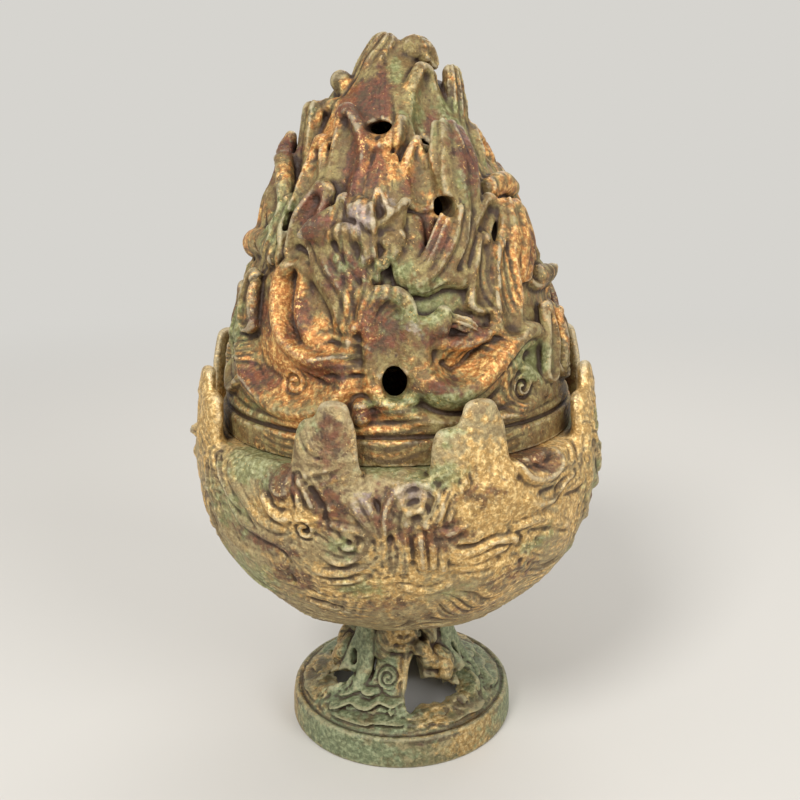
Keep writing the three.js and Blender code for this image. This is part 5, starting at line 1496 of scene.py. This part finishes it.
def studio_world():
    """Soft light from all around, behind a plain backdrop."""
    world = bpy.data.worlds.new("studio")
    world.use_nodes = True
    tree = world.node_tree
    tree.nodes.clear()
    lit = node(tree, "ShaderNodeBackground", {"Color": linear(SKY), "Strength": SKY_STRENGTH})
    backdrop = node(tree, "ShaderNodeBackground", {"Color": linear(BACKDROP), "Strength": 1.0})
    both = node(tree, "ShaderNodeMixShader", {0: seen(tree), 1: lit.outputs[0], 2: backdrop.outputs[0]})
    node(tree, "ShaderNodeOutputWorld", {"Surface": both.outputs[0]})
    return world


# The burner's builders as an add-on

def length_setting(name, description, default, low, high):
    """A length in metres that a user may change."""
    return FloatProperty(name=name, description=description, default=default, min=low, max=high, unit="LENGTH",
                         precision=5)


def colour_setting(name, description, value):
    """A colour that a user may change, whose default is given as hex."""
    return FloatVectorProperty(name=name, description=description, default=linear(value), min=0, max=1, size=4,
                               subtype="COLOR")


class FootSettings(bpy.types.PropertyGroup):
    voxel: length_setting("Voxel", "Size of the foot's sculpting grid", 0.0006, 0.0004, 0.002)
    body: colour_setting("Body", "Olive-brown patina of the foot", "#6f6a48")
    green: colour_setting("Green", "Malachite patina over the foot", "#737f5d")


class BowlSettings(bpy.types.PropertyGroup):
    voxel: length_setting("Voxel", "Size of the bowl's sculpting grid", 0.0007, 0.0006, 0.003)
    body: colour_setting("Body", "Olive-brown patina of the bowl", "#a38d62")
    gilt: colour_setting("Gilding", "Remains of gilding on the bowl", "#cca362")


class LidSettings(bpy.types.PropertyGroup):
    voxel: length_setting("Voxel", "Size of the lid's sculpting grid", 0.00066, 0.0006, 0.003)
    body: colour_setting("Body", "Brown patina of the lid", "#82683f")
    gilt: colour_setting("Gilding", "Remains of orange gilding on the lid", "#c68548")
    red: colour_setting("Cuprite", "Dark red patina on the lid", "#7c4635")


class RivetSettings(bpy.types.PropertyGroup):
    head_radius: length_setting("Head radius", "Radius of the rivet's head", 0.007, 0.005, 0.01)
    body: colour_setting("Body", "Dark worn bronze of the rivet", "#5c4733")


class StageSettings(bpy.types.PropertyGroup):
    reach: length_setting("Reach", "Half the width of the floor", 6.0, 1.0, 20.0)
    tint: colour_setting("Tint", "Colour of the floor", "#cfccc6")
    lens: FloatProperty(name="Lens", description="Focal length of the camera in mm", default=40.5, min=20, max=200)


def palette(**own):
    """A piece's own body and tan, and the other colours that the castings share unless a piece has its own.

    Each is given as hex or as linear values."""
    shared = {
        "deep": "#4a3927", "gilt": "#c68844", "bright_gilt": "#f0c67c", "red": "#7c4b36", "dark_red": "#452b25",
        "green": "#758456", "pale_green": "#a9b589", "worn": "#d6c8a6", "dirt": "#352216", "ash": "#b0a09a",
    }
    return SimpleNamespace(**{
        key: linear(value) if isinstance(value, str) else tuple(value) for key, value in (shared | own).items()
    })


class BURNER_OT_foot(bpy.types.Operator):
    """Sculpts the pierced foot"""

    bl_idname = "burner.foot"
    bl_label = "Foot"

    def execute(self, context):
        settings = context.scene.burner_foot
        # Low-lead bronze under malachite: matt green over olive brown, with pale rubbed ridges partly painted as
        # highlights and a few gold specks painted as glints
        colours = palette(body=settings.body, green=settings.green, gilt="#ab8a52", tan="#9c8f68",
                          bright_gilt="#cbb07c", pale_green="#929b78", worn="#a49c78")
        material = patinated_bronze("Cast bronze, malachite patina", 1, colours, gilding=0.78, greening=0.68,
                                    reddening=0.86, metal=0.2)
        piece = sculpted_piece(
            "openwork_foot_casting", *foot(settings.voxel / MM), FOOT_SPOTS, lambda points: points[:, 2], FOOT_TURNS,
            material,
        )
        place(piece, "bowl_and_foot", "foot_bronze", "openwork_foot")
        return {"FINISHED"}


class BURNER_OT_bowl(bpy.types.Operator):
    """Sculpts the bowl with its crown of peaks"""

    bl_idname = "burner.bowl"
    bl_label = "Bowl"

    def execute(self, context):
        settings = context.scene.burner_bowl
        # Bronze with gilding worn through: grainy gold-brown with olive and green in the low places
        colours = palette(body=settings.body, gilt=settings.gilt, tan="#b7a578", deep="#5e4830", green="#84895a",
                          pale_green="#adb186", bright_gilt="#f4d494")
        material = patinated_bronze("Cast bronze, worn gilding", 2, colours, gilding=0.65, greening=0.78,
                                    reddening=0.78, metal=0.3)

        def level(points):
            return np.degrees(np.arctan2(points[:, 2] - WAIST_Z, np.hypot(points[:, 0], points[:, 1])))

        piece = sculpted_piece("burner_bowl_casting", *bowl(settings.voxel / MM), BOWL_SPOTS, level, BOWL_TURNS,
                               material)
        place(piece, "bowl_and_foot", "bowl_bronze", "burner_bowl")
        return {"FINISHED"}


class BURNER_OT_lid(bpy.types.Operator):
    """Sculpts the mountain lid"""

    bl_idname = "burner.lid"
    bl_label = "Mountain lid"

    def execute(self, context):
        settings = context.scene.burner_lid
        # Bronze with orange gilding in its folds, dark red cuprite patches and pale rubbed edges partly painted as
        # highlights
        colours = palette(body=settings.body, gilt=settings.gilt, red=settings.red, tan="#a3925f",
                          dark_red="#442828", green="#7b8250", pale_green="#a5a97b")
        material = patinated_bronze("Cast bronze, cuprite and gilding remains", 3, colours, gilding=0.67, greening=0.74,
                                    reddening=0.7, metal=0.28)
        piece = sculpted_piece("mountain_lid_casting", *mountain(settings.voxel / MM), LID_SPOTS,
                               lambda points: points[:, 2] - LID_Z, FACE_TURNS, material)
        place(piece, "lid", "lid_bronze", "mountain_lid")
        return {"FINISHED"}


class BURNER_OT_rivet(bpy.types.Operator):
    """Turns the rivet that joins the bowl and foot, and its washer"""

    bl_idname = "burner.rivet"
    bl_label = "Rivet and washer"

    def execute(self, context):
        settings = context.scene.burner_rivet
        # Worn bronze that never saw polish: dark brown, slightly shiny where the hammer flattened it
        colours = palette(body=settings.body, tan="#7a6142", deep="#33261a")
        material = patinated_bronze("Forged bronze, dark", 4, colours, gilding=0.9, greening=0.74, reddening=0.8,
                                    metal=0.6)
        rivet_low, rivet_high = box_mm("joining_rivet")
        washer_low, washer_high = box_mm("rivet_washer")
        head = settings.head_radius / MM
        head_z = BOWL_FOOT_Z + BOWL_WALL + RIVET_PLAY
        tail_z = washer_low[2] - RIVET_PLAY
        rise = rivet_high[2] - head_z
        drop = tail_z - rivet_low[2]
        shank = BORE - RIVET_PLAY
        tail = shank * TAIL_SHARE
        head_dome = [(head * math.cos(turn), head_z + rise * (0.25 + 0.75 * math.sin(turn))) for turn in
                     np.linspace(0, math.pi / 2, 9)[:-1]]
        tail_dome = [(tail * math.sin(turn), tail_z - drop * (0.3 + 0.7 * math.cos(turn))) for turn in
                     np.linspace(0, math.pi / 2, 7)[1:]]
        rivet = [(0, tail_z - drop), *tail_dome, (tail, tail_z), (shank, tail_z), (shank, head_z), (head, head_z),
                 *head_dome, (0, head_z + rise)]
        washer = [(BORE, washer_low[2]), (washer_high[0], washer_low[2]), (washer_high[0], washer_high[2]),
                  (BORE, washer_high[2])]
        for name, profile, cad_node in (
            ("joining_rivet_turned", rivet, "joining_rivet"),
            ("rivet_washer_turned", rounded(washer, WASHER_ROUNDING), "rivet_washer"),
        ):
            points, faces = turned_mesh(profile, RIVET_SIDES)
            loops = np.array([corner for face in faces for corner in face])
            sizes = np.array([len(face) for face in faces])
            tones = {tone: np.full(len(points), value) for tone, value in RIVET_TONES.items()}
            tones["edge"][points[:, 2] > points[:, 2].mean()] = UPPER_EDGE
            piece = mesh_piece(name, points, loops, sizes, tones, material)
            place(piece, "bowl_and_foot", "rivet_bronze", cad_node)
        return {"FINISHED"}


class BURNER_OT_stage(bpy.types.Operator):
    """Sets up the floor, the lamps and the camera"""

    bl_idname = "burner.stage"
    bl_label = "Stage"

    def execute(self, context):
        settings = context.scene.burner_stage
        scene = context.scene
        ground = paper_floor(settings.reach, tuple(settings.tint))
        scene.world = studio_world()
        for name, spot, power, size in LAMPS:
            lamp = bpy.data.lights.new(name, "AREA")
            lamp.shape = "DISK"
            lamp.energy = power
            lamp.size = size
            holder = linked(name, lamp)
            holder.location = spot
            holder.rotation_euler = (Vector(LAMP_TARGET) - Vector(spot)).to_track_quat("-Z", "Y").to_euler()
        camera = bpy.data.cameras.new("camera")
        camera.lens = settings.lens
        camera.sensor_width = SENSOR
        camera.clip_start = CLIP_START
        scene.camera = linked("camera", camera)
        scene.camera.location = [value * MM for value in CAMERA_PLACE]
        tilt = Euler((math.radians(90 - CAMERA_PITCH), 0, 0)).to_matrix()
        roll = Euler((0, 0, math.radians(CAMERA_ROLL))).to_matrix()
        scene.camera.rotation_euler = (tilt @ roll).to_euler()
        scene.view_settings.view_transform = "Standard"
        return {"FINISHED"}


class BURNER_PT_panel(bpy.types.Panel):
    bl_label = "Mountain incense burner"
    bl_idname = "BURNER_PT_panel"
    bl_space_type = "VIEW_3D"
    bl_region_type = "UI"
    bl_category = "Burner"

    def draw(self, context):
        for title, settings, operator in PARTS:
            box = self.layout.box()
            box.label(text=title)
            group = getattr(context.scene, settings)
            for name in group.__annotations__:
                box.prop(group, name)
            box.operator(operator)


def place(piece, body, slot, cad_node):
    """Puts a piece on its body, in place of its CAD node."""
    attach(piece, body)
    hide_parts(cad_node)


PARTS = [
    ("Foot", "burner_foot", "burner.foot"),
    ("Bowl", "burner_bowl", "burner.bowl"),
    ("Lid", "burner_lid", "burner.lid"),
    ("Rivet and washer", "burner_rivet", "burner.rivet"),
    ("Stage", "burner_stage", "burner.stage"),
]
SETTINGS = {
    "burner_foot": FootSettings, "burner_bowl": BowlSettings, "burner_lid": LidSettings,
    "burner_rivet": RivetSettings, "burner_stage": StageSettings,
}
OPERATORS = [BURNER_OT_foot, BURNER_OT_bowl, BURNER_OT_lid, BURNER_OT_rivet, BURNER_OT_stage]


def register():
    for group in (*SETTINGS.values(), *OPERATORS, BURNER_PT_panel):
        bpy.utils.register_class(group)
    for name, group in SETTINGS.items():
        setattr(bpy.types.Scene, name, PointerProperty(type=group))


def unregister():
    for name in SETTINGS:
        delattr(bpy.types.Scene, name)
    for group in reversed((*SETTINGS.values(), *OPERATORS, BURNER_PT_panel)):
        bpy.utils.unregister_class(group)


def main():
    register()
    bpy.ops.burner.foot()
    bpy.ops.burner.bowl()
    bpy.ops.burner.lid()
    bpy.ops.burner.rivet()
    bpy.ops.burner.stage()


if __name__ == "__main__":
    main()
